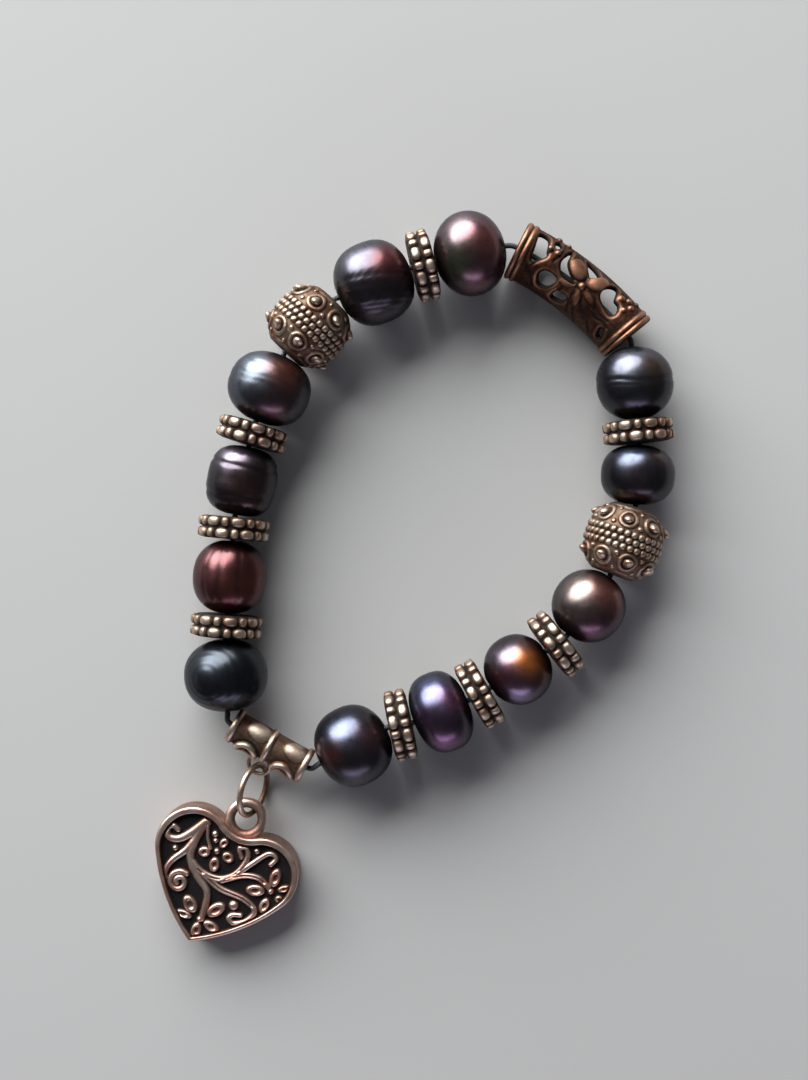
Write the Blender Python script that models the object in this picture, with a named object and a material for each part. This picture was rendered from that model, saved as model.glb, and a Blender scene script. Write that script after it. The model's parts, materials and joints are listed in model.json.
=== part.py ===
"""Pearl bracelet: dark pearls, granulated spacers, carved beads, a pierced tube and a charm bail
strung on elastic as one closed loop, with a heart charm on a jump ring. It lies flat on z = 0.

The charm side is -Y, and every bead rests on the surface. Metres, +Z up.
"""

import math
from dataclasses import dataclass

import bmesh
import bpy
import numpy as np
from mathutils import Matrix, Vector

MM = 0.001

# Clearances
BEAD_GAP = 0.20 * MM  # between neighbours on the string
THREAD_GAP = 0.30 * MM  # between the thread and the wall of a hole
FLOOR_GAP = 0.05 * MM  # under the jump ring

# Pearls
PEARL_LENGTH = 8.8 * MM
PEARL_WIDTH = 10.2 * MM
PEARL_HOLE = 1.3 * MM
PEARL_END_FACE = 2.4 * MM
PEARL_SIDES = 12

# Granulated spacers
SPACER_WIDTH = 9.3 * MM
SPACER_LENGTH = 2.85 * MM
SPACER_HOLE = 2.4 * MM
SPACER_GRAIN = 0.55 * MM  # height of a grain over the groove between grains
SPACER_PAIRS = 8  # one long and one round grain each

# Carved barrel beads
BARREL_WIDTH = 9.5 * MM
BARREL_LENGTH = 8.9 * MM
BARREL_HOLE = 2.4 * MM
BARREL_COLLAR = 5.0 * MM
BARREL_SIDES = 14
ROPE_WIDTH = 0.85 * MM
ROPE_HEIGHT = 0.30 * MM
BOSS_WIDTH = 2.3 * MM
BOSS_HEIGHT = 0.55 * MM
BOSSES_ROUND = 8

# Pierced tube
TUBE_LENGTH = 18.5 * MM
TUBE_WIDTH = 7.3 * MM
TUBE_WALL = 0.60 * MM
TUBE_BEND_RADIUS = 42.0 * MM
TUBE_RIM_WIDTH = 1.5 * MM
TUBE_RIM_HEIGHT = 0.22 * MM
TUBE_SIDES = 14
TUBE_RINGS = 6
PETAL_LENGTH = 2.9 * MM
PETAL_WIDTH = 1.8 * MM
PETAL_HEIGHT = 0.45 * MM

# Charm bail
BAIL_LENGTH = 11.0 * MM
BAIL_WIDTH = 4.9 * MM
BAIL_HOLE = 2.6 * MM
BAIL_SIDES = 16
BAIL_BOSS_LENGTH = 3.3 * MM
BAIL_BOSS_WIDTH = 2.6 * MM
BAIL_BOSS_HEIGHT = 0.35 * MM
BAIL_BOSS_TURN = math.radians(42)  # from the top towards the loop's inside
ARCH_WIDTH = 3.3 * MM
ARCH_WIRE = 0.60 * MM
ARCH_TURN = math.radians(62)  # from the top towards the loop's outside
BAIL_LOOP_WIDTH = 3.4 * MM
BAIL_LOOP_WIRE = 0.55 * MM
BAIL_LOOP_DROP = math.radians(25)

# Jump ring
RING_WIDTH = 7.45 * MM
RING_WIRE = 0.78 * MM
RING_LEAN = math.radians(57)
RING_HEADING = math.radians(257.7)

# Heart charm
HEART_WIDTH = 19.2 * MM
HEART_THICK = 4.4 * MM
HEART_EDGE = 0.30 * MM
HEART_RIM = 0.65 * MM
HEART_RECESS = 0.80 * MM
HEART_HEADING = math.radians(245)
HEART_LOOP_WIDTH = 5.5 * MM
HEART_LOOP_WIRE = 1.30 * MM
HEART_LOOP_SINK = 0.6 * MM  # how far the loop runs into the heart
HEART_LOOP_LIFT = 2.8 * MM
HEART_LOOP_PULL = 0.60  # how near the jump ring lies to the top of the loop's hole
SCROLL_WIDTH = 0.72 * MM
FLOWER_MIDDLE = 1.0 * MM
RELIEF_HEIGHT = 0.45 * MM
SCROLL_STEP = 0.012 * MM  # so that no two scrolls share a face where they cross

# Elastic
THREAD_WIDTH = 0.7 * MM

# The string in order, clockwise seen from above, starting at the pearl after the tube.
# Pearls: share of PEARL_LENGTH, share of PEARL_WIDTH, squareness of the outline (2 is round).
PEARLS = {
    "pearl_01": (1.03, 0.97, 2.2),
    "pearl_02": (0.86, 0.93, 2.4),
    "pearl_03": (1.02, 0.93, 2.1),
    "pearl_04": (0.94, 0.90, 2.1),
    "pearl_05": (0.83, 1.03, 2.5),
    "pearl_06": (1.06, 1.02, 2.3),
    "pearl_07": (1.03, 1.05, 2.2),
    "pearl_08": (1.05, 0.93, 2.3),
    "pearl_09": (1.00, 0.88, 2.9),
    "pearl_10": (1.01, 1.05, 2.3),
    "pearl_11": (1.11, 1.05, 2.4),
    "pearl_12": (1.02, 1.07, 2.1),
}
STRING = (
    "pearl_01 spacer_01 pearl_02 carved_bead_1 pearl_03 spacer_02 pearl_04 spacer_03 pearl_05 "
    "spacer_04 pearl_06 charm_bail pearl_07 spacer_05 pearl_08 spacer_06 pearl_09 spacer_07 "
    "pearl_10 carved_bead_2 pearl_11 spacer_08 pearl_12 filigree_tube"
).split()

# The route that the string was laid in, as chosen points x, y in millimetres.
# It is stretched as a whole to the length of what is strung.
ROUTE_MM = [
    (27.7, 24.6), (28.5, 12.4), (26.4, 4.1), (21.4, -5.3), (12.7, -12.1), (2.7, -17.6),
    (-7.5, -20.4), (-13.8, -24.2), (-22.9, -19.5), (-24.3, -13.6), (-23.7, 0.0), (-22.4, 12.1),
    (-18.9, 23.6), (-14.0, 32.2), (-6.0, 37.4), (6.4, 40.9), (12.3, 41.9), (20.3, 37.3),
    (26.9, 30.8),
]

# Corners of the openings through the tube: share of the length, degrees round from the top
# towards the outside of the bend. The back has the same ones mirrored, a little turned.
OPENINGS = {
    "rim_gap": [(0.097, 50), (0.160, 53), (0.193, 18), (0.207, 4), (0.133, -18), (0.108, 8)],
    "leaf_eye": [(0.217, 50), (0.239, 63), (0.263, 49), (0.250, 36), (0.229, 36)],
    "left_crescent": [(0.336, 55), (0.351, 22), (0.410, 2), (0.478, -9), (0.416, -13),
                      (0.343, -4), (0.308, 18)],
    "left_round": [(0.222, -34), (0.250, -20), (0.334, -19), (0.357, -29), (0.321, -51),
                   (0.255, -56)],
    "lower_round": [(0.383, -63), (0.403, -42), (0.483, -40), (0.478, -58), (0.416, -68)],
    "petal_gap": [(0.452, 58), (0.518, 57), (0.581, 39), (0.527, 23)],
    "bean": [(0.645, 25), (0.675, 46), (0.716, 54), (0.748, 24), (0.795, 19), (0.819, 4),
             (0.800, -8), (0.735, -5), (0.660, 6)],
    "lower_slit": [(0.815, -42), (0.848, -38), (0.873, -60), (0.838, -63)],
}
BACK_TURN = math.radians(156)
FLOWER_ALONG, FLOWER_AROUND = 0.524, -3
# Petals of the tube's flower: turn in degrees, share of PETAL_LENGTH, share of PETAL_WIDTH.
TUBE_PETALS = [
    (136, 1.25, 1.28), (50, 1.20, 1.05), (-18, 0.90, 0.70), (-75, 0.90, 0.70), (205, 0.90, 0.70),
]

# Relief of the heart. Each point is (across, along) from the tip, in shares of HEART_WIDTH.
LOBE_ACROSS, LOBE_ALONG, LOBE_RADIUS = 0.249, 0.593, 0.254
SIDE_RADIUS, TIP_RADIUS = 1.25, 0.030
NOTCH_ALONG = 0.775
SCROLLS = {
    "left_curl": [(-0.230, 0.767), (-0.301, 0.644), (-0.356, 0.584), (-0.418, 0.574),
                  (-0.449, 0.608), (-0.434, 0.647), (-0.388, 0.645)],
    "left_branch": [(-0.253, 0.621), (-0.279, 0.534), (-0.332, 0.438), (-0.345, 0.360),
                    (-0.323, 0.288)],
    "stem": [(-0.244, 0.731), (-0.250, 0.600), (-0.226, 0.499), (-0.131, 0.408),
             (-0.026, 0.336), (0.012, 0.166)],
    "main_curve": [(-0.214, 0.489), (-0.111, 0.447), (0.011, 0.459), (0.095, 0.536),
                   (0.120, 0.660), (0.085, 0.719), (0.045, 0.700), (0.080, 0.649)],
    "right_branch": [(0.107, 0.541), (0.165, 0.643), (0.236, 0.748), (0.296, 0.742),
                     (0.280, 0.686)],
    "lower_branch": [(0.027, 0.455), (0.138, 0.541), (0.244, 0.571), (0.333, 0.541)],
    "long_curl": [(-0.093, 0.440), (0.038, 0.400), (0.210, 0.402), (0.311, 0.362),
                  (0.295, 0.284), (0.224, 0.228), (0.175, 0.243), (0.193, 0.277),
                  (0.238, 0.294)],
    "thin_stem": [(-0.210, 0.746), (-0.178, 0.671), (-0.131, 0.618)],
}
SPIRAL_PLACE, SPIRAL_RADIUS, SPIRAL_TURNS = (-0.230, 0.324), 0.062, 1.25
# Dots: across, along, width.
DOTS = [(0.170, 0.334, 0.065), (0.158, 0.730, 0.041), (-0.144, 0.717, 0.045),
        (-0.122, 0.679, 0.036), (-0.348, 0.520, 0.041)]
# Flowers: middle, then each petal's turn in degrees, reach, length and width.
FLOWERS = {
    (-0.085, 0.617): [(-153, 0.085, 0.074, 0.061), (-76, 0.091, 0.088, 0.061),
                      (-4, 0.085, 0.074, 0.061), (74, 0.072, 0.068, 0.047)],
    (0.355, 0.525): [(-159, 0.102, 0.115, 0.068), (96, 0.095, 0.115, 0.064),
                     (35, 0.092, 0.081, 0.041), (-20, 0.077, 0.047, 0.047),
                     (-90, 0.105, 0.095, 0.054)],
    (0.002, 0.155): [(147, 0.120, 0.115, 0.074), (55, 0.126, 0.122, 0.074),
                     (187, 0.115, 0.108, 0.047), (-83, 0.076, 0.095, 0.061),
                     (-7, 0.093, 0.108, 0.058)],
}

PEARL_COLOURS = {
    "pearl_01": (0.030, 0.030, 0.045),
    "pearl_02": (0.020, 0.022, 0.040),
    "pearl_03": (0.110, 0.055, 0.060),
    "pearl_04": (0.075, 0.035, 0.045),
    "pearl_05": (0.030, 0.025, 0.065),
    "pearl_06": (0.022, 0.018, 0.035),
    "pearl_07": (0.018, 0.022, 0.030),
    "pearl_08": (0.090, 0.025, 0.045),
    "pearl_09": (0.035, 0.025, 0.050),
    "pearl_10": (0.045, 0.045, 0.055),
    "pearl_11": (0.040, 0.035, 0.055),
    "pearl_12": (0.060, 0.030, 0.045),
}
SILVER_COLOUR = (0.42, 0.37, 0.29)
COPPER_COLOUR = (0.30, 0.20, 0.15)
THREAD_COLOUR = (0.05, 0.05, 0.05)


def clear_scene():
    """Removes what the file opened with."""
    for old in list(bpy.data.objects):
        bpy.data.objects.remove(old, do_unlink=True)


def material(name, colour, metallic, roughness):
    """One Principled material with plain values."""
    made = bpy.data.materials.new(name)
    made.use_nodes = True
    shader = made.node_tree.nodes["Principled BSDF"]
    shader.inputs["Base Color"].default_value = (*colour, 1.0)
    shader.inputs["Metallic"].default_value = metallic
    shader.inputs["Roughness"].default_value = roughness
    return made


def add_object(name, data, finish=None, place=None, helper=False):
    """Links a mesh or curve as an object; a helper is only used by a modifier."""
    made = bpy.data.objects.new(name, data)
    bpy.context.scene.collection.objects.link(made)
    if finish is not None:
        data.materials.append(finish)
    if place is not None:
        made.matrix_world = place
    if helper:
        made.hide_render = True
        made.display_type = "WIRE"
    return made


def mesh_from(name, body, smooth=True):
    """Turns a bmesh into a mesh with outward normals."""
    bmesh.ops.recalc_face_normals(body, faces=body.faces)
    mesh = bpy.data.meshes.new(name)
    body.to_mesh(mesh)
    body.free()
    for face in mesh.polygons:
        face.use_smooth = smooth
    return mesh


def boolean(target, helper, operation, overlapping=False):
    """A live Boolean between the object and a hidden helper."""
    step = target.modifiers.new(operation.lower(), "BOOLEAN")
    step.operation = operation
    step.solver = "EXACT"
    step.use_self = overlapping
    step.object = helper
    return step


def spun(profile, sides):
    """Spins a closed profile of (x, radius) points round the X axis."""
    body = bmesh.new()
    ring = [body.verts.new((x, 0.0, radius)) for x, radius in profile]
    edges = [body.edges.new((ring[i], ring[i - 1])) for i in range(len(ring))]
    bmesh.ops.spin(
        body, geom=ring + edges, axis=(1, 0, 0), cent=(0, 0, 0),
        steps=sides, angle=2 * math.pi, use_merge=True,
    )
    bmesh.ops.remove_doubles(body, verts=body.verts, dist=1e-7)
    return body


def add_dome(body, place, size, turn=None, sides=8, rings=3):
    """Adds an ellipsoid of the given full sizes to a bmesh."""
    shape = Matrix.Diagonal((*[0.5 * s for s in size], 1.0))
    matrix = Matrix.Translation(place) @ (turn or Matrix.Identity(4)) @ shape
    bmesh.ops.create_uvsphere(body, u_segments=sides, v_segments=rings, radius=1.0, matrix=matrix)


def add_ring(body, matrix, ring_radius, wire_radius, around=20, wire_sides=6):
    """Adds a torus that lies in the local XY plane of the matrix."""
    verts = []
    for i in range(around):
        turn = 2 * math.pi * i / around
        for k in range(wire_sides):
            tilt = 2 * math.pi * (k + 0.5) / wire_sides
            reach = ring_radius + wire_radius * math.cos(tilt)
            spot = Vector((reach * math.cos(turn), reach * math.sin(turn),
                           wire_radius * math.sin(tilt)))
            verts.append(body.verts.new(matrix @ spot))
    for i in range(around):
        for k in range(wire_sides):
            following, above = (i + 1) % around, (k + 1) % wire_sides
            body.faces.new((
                verts[i * wire_sides + k], verts[following * wire_sides + k],
                verts[following * wire_sides + above], verts[i * wire_sides + above],
            ))


def smooth_through(points, steps, closed=False):
    """Rounded curve through chosen points, as an array with a few steps in each span."""
    points = np.asarray(points, float)
    count = len(points)
    if closed:
        padded = np.vstack([points[-1:], points, points[:2]])
        spans = count
    else:
        first, last = 2 * points[0] - points[1], 2 * points[-1] - points[-2]
        padded = np.vstack([first, points, last])
        spans = count - 1
    share = np.linspace(0, 1, steps, endpoint=False)[:, None]
    made = []
    for i in range(spans):
        p0, p1, p2, p3 = padded[i:i + 4]
        knots = np.cumsum([0.0] + [np.linalg.norm(b - a) ** 0.5
                                   for a, b in ((p0, p1), (p1, p2), (p2, p3))])
        t = knots[1] + share * (knots[2] - knots[1])

        def blend(a, b, low, high):
            return ((high - t) * a + (t - low) * b) / (high - low)

        a1, a2, a3 = (blend(padded[i + j], padded[i + j + 1], knots[j], knots[j + 1])
                      for j in range(3))
        b1, b2 = blend(a1, a2, knots[0], knots[2]), blend(a2, a3, knots[1], knots[3])
        made.append(blend(b1, b2, knots[1], knots[2]))
    if not closed:
        made.append(points[-1:])
    return np.vstack(made)


@dataclass
class Strung:
    """One piece on the string: its outline (x, radius) from the back end to the front end."""

    name: str
    outline: list
    hole: float
    bend: float = 0.0
    centre: Vector = None
    heading: float = 0.0

    @property
    def length(self):
        return self.outline[-1][0] - self.outline[0][0]

    @property
    def radius(self):
        return max(radius for _, radius in self.outline)

    @property
    def slack(self):
        """How far the thread can lie off the middle of the hole."""
        return max(0.5 * (self.hole - THREAD_WIDTH) - THREAD_GAP, 0.0)

    @property
    def chord(self):
        if not self.bend:
            return self.length
        return 2 * self.length / self.bend * math.sin(self.bend / 2)

    def end(self, side):
        """Point, outward direction, and falling-away of the surface (radii, depths) of one end."""
        turn = self.heading - side * self.bend / 2
        along = Vector((math.cos(self.heading), math.sin(self.heading), 0.0))
        point = self.centre + along * (side * self.chord / 2)
        outward = Vector((math.cos(turn), math.sin(turn), 0.0)) * side
        half = [(radius, self.length / 2 - side * x)
                for x, radius in self.outline if side * x >= -1e-9]
        half.sort()
        return point, outward, np.array([h[0] for h in half]), np.array([h[1] for h in half])

    def matrix(self):
        return Matrix.Translation(self.centre) @ Matrix.Rotation(self.heading, 4, "Z")


def pearl_outline(name):
    """Superellipse from end face to end face."""
    long, wide, square = PEARLS[name]
    half, radius = PEARL_LENGTH * long / 2, PEARL_WIDTH * wide / 2
    start = math.asin((0.5 * PEARL_END_FACE / radius) ** (square / 2))
    turns = np.linspace(math.pi - start, start, 7)
    reach = np.sign(np.cos(turns)) * np.abs(np.cos(turns)) ** (2 / square)
    rise = np.sin(turns) ** (2 / square)
    reach *= half / reach.max()
    return [(float(x), float(radius * r)) for x, r in zip(reach, rise)]


def spacer_outline():
    """Two rounded rows with a groove between them."""
    half, radius = SPACER_LENGTH / 2, SPACER_WIDTH / 2
    shares = ((-1.0, 0.88), (-0.55, 1.0), (0.0, 0.90), (0.55, 1.0), (1.0, 0.88))
    return [(x * half, r * radius) for x, r in shares]


def barrel_outline():
    """Barrel from collar to collar with two raised rope rows round its middle."""
    half, radius = BARREL_LENGTH / 2, BARREL_WIDTH / 2
    collar = BARREL_COLLAR / 2
    bulge = [(-1.0, 0.0), (-0.80, 0.52), (-0.55, 0.86), (-0.28, 0.99)]
    side = [(x * half, collar + share * (radius - collar)) for x, share in bulge]
    rope = [(-ROPE_WIDTH, 0.0), (-0.75 * ROPE_WIDTH, 1.0), (-0.25 * ROPE_WIDTH, 1.0), (0.0, 0.15)]
    rows = [(x, radius + rise * ROPE_HEIGHT) for x, rise in rope]
    left = side + rows
    return left + [(-x, r) for x, r in reversed(left[:-1])]


def tube_outline():
    """Straightened tube with two ridges at each end."""
    half, radius = TUBE_LENGTH / 2, TUBE_WIDTH / 2
    ridge, low = radius + TUBE_RIM_HEIGHT, radius - 0.5 * TUBE_RIM_HEIGHT
    step = TUBE_RIM_WIDTH / 4
    rim = [(0.0, low), (0.6 * step, ridge), (1.6 * step, ridge), (2.0 * step, low),
           (2.6 * step, ridge), (3.6 * step, ridge), (4.0 * step, low)]
    left = [(x - half, r) for x, r in rim]
    inner = half - TUBE_RIM_WIDTH
    middle = [(float(x), radius) for x in np.linspace(-inner, inner, TUBE_RINGS + 1)]
    return left + middle[1:-1] + [(-x, r) for x, r in reversed(left)]


def bail_outline():
    """Bail with a ring at each end and one in the middle."""
    half, radius = BAIL_LENGTH / 2, BAIL_WIDTH / 2
    shares = ((-1.0, 0.90), (-0.97, 0.98), (-0.88, 0.98), (-0.84, 0.84), (-0.48, 0.80),
              (-0.12, 0.84), (-0.08, 1.0), (0.08, 1.0), (0.12, 0.84), (0.48, 0.80),
              (0.84, 0.84), (0.88, 0.98), (0.97, 0.98), (1.0, 0.90))
    return [(x * half, r * radius) for x, r in shares]


def strung_piece(name):
    """The string's piece of this name, not placed yet."""
    if name.startswith("pearl"):
        return Strung(name, pearl_outline(name), PEARL_HOLE)
    if name.startswith("spacer"):
        return Strung(name, spacer_outline(), SPACER_HOLE)
    if name.startswith("carved"):
        return Strung(name, barrel_outline(), BARREL_HOLE)
    if name == "charm_bail":
        return Strung(name, bail_outline(), BAIL_HOLE)
    bore = TUBE_WIDTH - 2 * TUBE_WALL
    return Strung(name, tube_outline(), bore, TUBE_LENGTH / TUBE_BEND_RADIUS)


def one_way_gap(near, far):
    """Least distance along the near end's axis from its surface to the far end's surface."""
    point, outward, radii, depths = near
    far_point, far_outward, far_radii, far_depths = far
    up = Vector((0, 0, 1))
    side, far_side = outward.cross(up), far_outward.cross(up)
    least = math.inf
    for turn in np.linspace(0, 2 * math.pi, 24, endpoint=False):
        spoke = far_side * math.cos(turn) + up * math.sin(turn)
        for radius, depth in zip(far_radii, far_depths):
            offset = far_point - far_outward * depth + spoke * radius - point
            off_axis = math.hypot(offset.dot(side), offset.z)
            if off_axis <= radii[-1]:
                reach = offset.dot(outward) + np.interp(off_axis, radii, depths)
                least = min(least, reach)
    return least


def lay_string():
    """Slides the pieces along the route until each lies BEAD_GAP from the next."""
    pieces = [strung_piece(name) for name in STRING]
    curve = smooth_through(np.array(ROUTE_MM) * MM, 24, closed=True)
    steps = np.linalg.norm(np.roll(curve, -1, axis=0) - curve, axis=1)
    travelled = np.concatenate([[0.0], np.cumsum(steps)])
    curve = np.vstack([curve, curve[:1]])
    count = len(pieces)
    spacing = np.array([
        (pieces[i].length + pieces[(i + 1) % count].length) / 2 + BEAD_GAP for i in range(count)
    ])
    for _ in range(12):
        whole = spacing.sum()
        scale = whole / travelled[-1]
        centres = np.concatenate([[0.0], np.cumsum(spacing)[:-1]])

        def at(distance):
            share = (distance / scale) % travelled[-1]
            return Vector((np.interp(share, travelled, curve[:, 0]) * scale,
                           np.interp(share, travelled, curve[:, 1]) * scale, 0.0))

        for piece, middle in zip(pieces, centres):
            start, stop = at(middle - piece.length / 2), at(middle + piece.length / 2)
            run = stop - start
            piece.heading = math.atan2(run.y, run.x)
            piece.centre = (start + stop) / 2
            piece.centre.z = piece.radius
        for i, piece in enumerate(pieces):
            if piece.name == "charm_bail":
                beside = (pieces[i - 1].centre.z + pieces[(i + 1) % count].centre.z) / 2
                piece.centre.z = beside - piece.slack
        for i, piece in enumerate(pieces):
            following = pieces[(i + 1) % count]
            ends = piece.end(1), following.end(-1)
            gap = min(one_way_gap(*ends), one_way_gap(*reversed(ends)))
            spacing[i] += BEAD_GAP - gap
    return pieces


def with_hole(outline, hole):
    """Closes an outline through its drilled hole."""
    return outline + [(outline[-1][0], hole / 2), (outline[0][0], hole / 2)]


def make_pearl(piece, finish):
    body = spun(with_hole(piece.outline, PEARL_HOLE), PEARL_SIDES)
    return add_object(piece.name, mesh_from(piece.name, body), finish, piece.matrix())


def make_spacer(piece, finish):
    """Two rows of grains, a long one and a round one in turn, the second row out of step."""
    heights = (0.0, 1.0, 1.0, 0.0, 0.9)
    row_depth = (0.5, 1.0, 0.25, 1.0, 0.5)
    row_step = (0, 0, 0, 3, 3)
    count = len(heights)
    body = bmesh.new()
    columns = []
    for k in range(SPACER_PAIRS * count):
        turn = 2 * math.pi * k / (SPACER_PAIRS * count)
        rim = [(x, radius - SPACER_GRAIN * (1 - heights[(k + step) % count]) * depth)
               for (x, radius), depth, step in zip(piece.outline, row_depth, row_step)]
        columns.append([body.verts.new((x, reach * math.cos(turn), reach * math.sin(turn)))
                        for x, reach in with_hole(rim, SPACER_HOLE)])
    for i, column in enumerate(columns):
        previous = columns[i - 1]
        for k in range(len(column)):
            body.faces.new((column[k - 1], column[k], previous[k], previous[k - 1]))
    mesh = mesh_from(piece.name, body, smooth=False)
    return add_object(piece.name, mesh, finish, piece.matrix())


def make_barrel(piece, finish):
    """Barrel with ringed bosses standing on both shoulders."""
    body = spun(with_hole(piece.outline, BARREL_HOLE), BARREL_SIDES)
    made = add_object(piece.name, mesh_from(piece.name, body), finish, piece.matrix())
    bosses = bmesh.new()
    xs = [x for x, _ in piece.outline]
    radii = [r for _, r in piece.outline]
    for side in (-1, 1):
        x = side * 0.30 * BARREL_LENGTH
        slope = side * math.radians(24)
        for k in range(BOSSES_ROUND):
            turn = 2 * math.pi * (k + 0.25 * side) / BOSSES_ROUND
            stand = Matrix.Rotation(turn, 4, "X") @ Matrix.Translation(
                (x, 0, float(np.interp(x, xs, radii)))) @ Matrix.Rotation(slope, 4, "Y")
            disc = stand @ Matrix.Translation((0, 0, BOSS_HEIGHT / 2 - 0.2 * MM))
            bmesh.ops.create_cone(
                bosses, cap_ends=True, segments=6, radius1=BOSS_WIDTH / 2,
                radius2=0.28 * BOSS_WIDTH, depth=BOSS_HEIGHT + 0.4 * MM, matrix=disc)
    helper = add_object(
        piece.name + "_bosses", mesh_from("bosses", bosses), place=piece.matrix(), helper=True)
    boolean(made, helper, "UNION")
    return made


def bent(x, angle, radius):
    """Place on the curved tube: x along the arc, angle round from the top towards the outside."""
    turn = x / TUBE_BEND_RADIUS
    drop = TUBE_BEND_RADIUS * (1 - math.cos(TUBE_LENGTH / 2 / TUBE_BEND_RADIUS))
    out = radius * math.sin(angle)
    reach = TUBE_BEND_RADIUS + out
    return Vector((reach * math.sin(turn), reach * math.cos(turn) - TUBE_BEND_RADIUS + drop,
                   radius * math.cos(angle)))


def opening_outline(corners):
    """Rounded outline of one opening as (length along, angle round)."""
    rounded = smooth_through([(along, around / 90) for along, around in corners], 2, closed=True)
    return [((along - 0.5) * TUBE_LENGTH, around * math.pi / 2) for along, around in rounded]


def make_tube(piece, finish):
    """Curved tube, cut through on both faces, with a raised flower on its front."""
    bore = TUBE_WIDTH / 2 - TUBE_WALL
    inner = [(x, bore) for x in np.linspace(TUBE_LENGTH / 2, -TUBE_LENGTH / 2, 6)]
    profile = piece.outline + inner
    body = bmesh.new()
    columns = []
    for k in range(TUBE_SIDES):
        angle = 2 * math.pi * (k + 0.5) / TUBE_SIDES
        columns.append([body.verts.new(bent(x, angle, radius)) for x, radius in profile])
    for i, column in enumerate(columns):
        previous = columns[i - 1]
        for k in range(len(column)):
            body.faces.new((column[k - 1], column[k], previous[k], previous[k - 1]))
    made = add_object(piece.name, mesh_from(piece.name, body), finish, piece.matrix())

    radius = TUBE_WIDTH / 2
    petals = bmesh.new()
    centre_x = (FLOWER_ALONG - 0.5) * TUBE_LENGTH
    centre_turn = math.radians(FLOWER_AROUND)
    spots = [(0.0, 0.0, 0.9 * MM, 0.9 * MM, 0.0)]
    for turn, long, wide in TUBE_PETALS:
        lean = math.radians(turn)
        reach = 0.66 * long * PETAL_LENGTH
        spots.append((reach * math.cos(lean), reach * math.sin(lean),
                      long * PETAL_LENGTH, wide * PETAL_WIDTH, lean))
    for x, around, long, wide, lean in spots:
        angle = centre_turn + around / radius
        foot = bent(centre_x + x, angle, radius - 0.1 * MM)
        stand = Matrix.Rotation(-angle, 4, "X") @ Matrix.Rotation(lean, 4, "Z")
        add_dome(petals, foot, (long, wide, 2 * PETAL_HEIGHT), stand)
    relief = add_object(piece.name + "_flower", mesh_from("flower", petals),
                        place=piece.matrix(), helper=True)
    boolean(made, relief, "UNION", overlapping=True)

    cuts = bmesh.new()
    for corners in OPENINGS.values():
        for mirrored in (False, True):
            shape = [(x, BACK_TURN - a if mirrored else a) for x, a in opening_outline(corners)]
            low = [cuts.verts.new(bent(x, a, bore - 0.4 * MM)) for x, a in shape]
            high = [cuts.verts.new(bent(x, a, radius + 0.8 * MM)) for x, a in shape]
            cuts.faces.new(low)
            cuts.faces.new(high)
            for k in range(len(shape)):
                cuts.faces.new((low[k - 1], low[k], high[k], high[k - 1]))
    cutter = add_object(piece.name + "_cuts", mesh_from("cuts", cuts),
                        place=piece.matrix(), helper=True)
    boolean(made, cutter, "DIFFERENCE", overlapping=True)
    return made


def bail_loop_matrix(piece):
    """Frame of the bail's loop: it leans down and outwards from the middle ring."""
    reach = 0.5 * BAIL_WIDTH + 0.5 * (BAIL_LOOP_WIDTH - BAIL_LOOP_WIRE) - 0.55 * MM
    lean = Matrix.Rotation(-BAIL_LOOP_DROP, 4, "X")
    return piece.matrix() @ lean @ Matrix.Translation((0, reach, 0))


def make_bail(piece, finish):
    """Bail with an oval boss on each half, an arch beside each boss and the charm's loop."""
    body = spun(with_hole(piece.outline, BAIL_HOLE), BAIL_SIDES)
    made = add_object(piece.name, mesh_from(piece.name, body), finish, piece.matrix())
    extras = bmesh.new()
    holes = bmesh.new()
    waist = 0.40 * BAIL_WIDTH
    for side in (-1, 1):
        x = side * 0.24 * BAIL_LENGTH
        boss = Matrix.Rotation(BAIL_BOSS_TURN, 4, "X")
        add_dome(extras, boss @ Vector((x, 0, waist)),
                 (BAIL_BOSS_LENGTH, BAIL_BOSS_WIDTH, 2 * BAIL_BOSS_HEIGHT), boss)
        stand = Matrix.Rotation(-ARCH_TURN, 4, "X") @ Matrix.Translation((x, 0, waist))
        add_ring(extras, stand @ Matrix.Translation((0, 0, 0.25 * ARCH_WIRE)),
                 (ARCH_WIDTH - ARCH_WIRE) / 2, ARCH_WIRE / 2, 12)
        bmesh.ops.create_cone(holes, cap_ends=True, segments=10, radius1=0.26 * ARCH_WIDTH,
                              radius2=0.26 * ARCH_WIDTH, depth=BAIL_WIDTH / 2,
                              matrix=stand @ Matrix.Translation((0, 0, 0.1 * MM)))
    loop = piece.matrix().inverted() @ bail_loop_matrix(piece)
    add_ring(extras, loop, (BAIL_LOOP_WIDTH - BAIL_LOOP_WIRE) / 2, BAIL_LOOP_WIRE / 2, 14)
    boolean(made, add_object("bail_extras", mesh_from("extras", extras), place=piece.matrix(),
                             helper=True), "UNION", overlapping=True)
    bore = bmesh.new()
    bmesh.ops.create_cone(bore, cap_ends=True, segments=BAIL_SIDES, radius1=BAIL_HOLE / 2,
                          radius2=BAIL_HOLE / 2, depth=1.2 * BAIL_LENGTH,
                          matrix=Matrix.Rotation(math.pi / 2, 4, "Y"))
    boolean(made, add_object("bail_holes", mesh_from("holes", holes), place=piece.matrix(),
                             helper=True), "DIFFERENCE")
    boolean(made, add_object("bail_bore", mesh_from("bore", bore), place=piece.matrix(),
                             helper=True), "DIFFERENCE")
    return made


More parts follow.
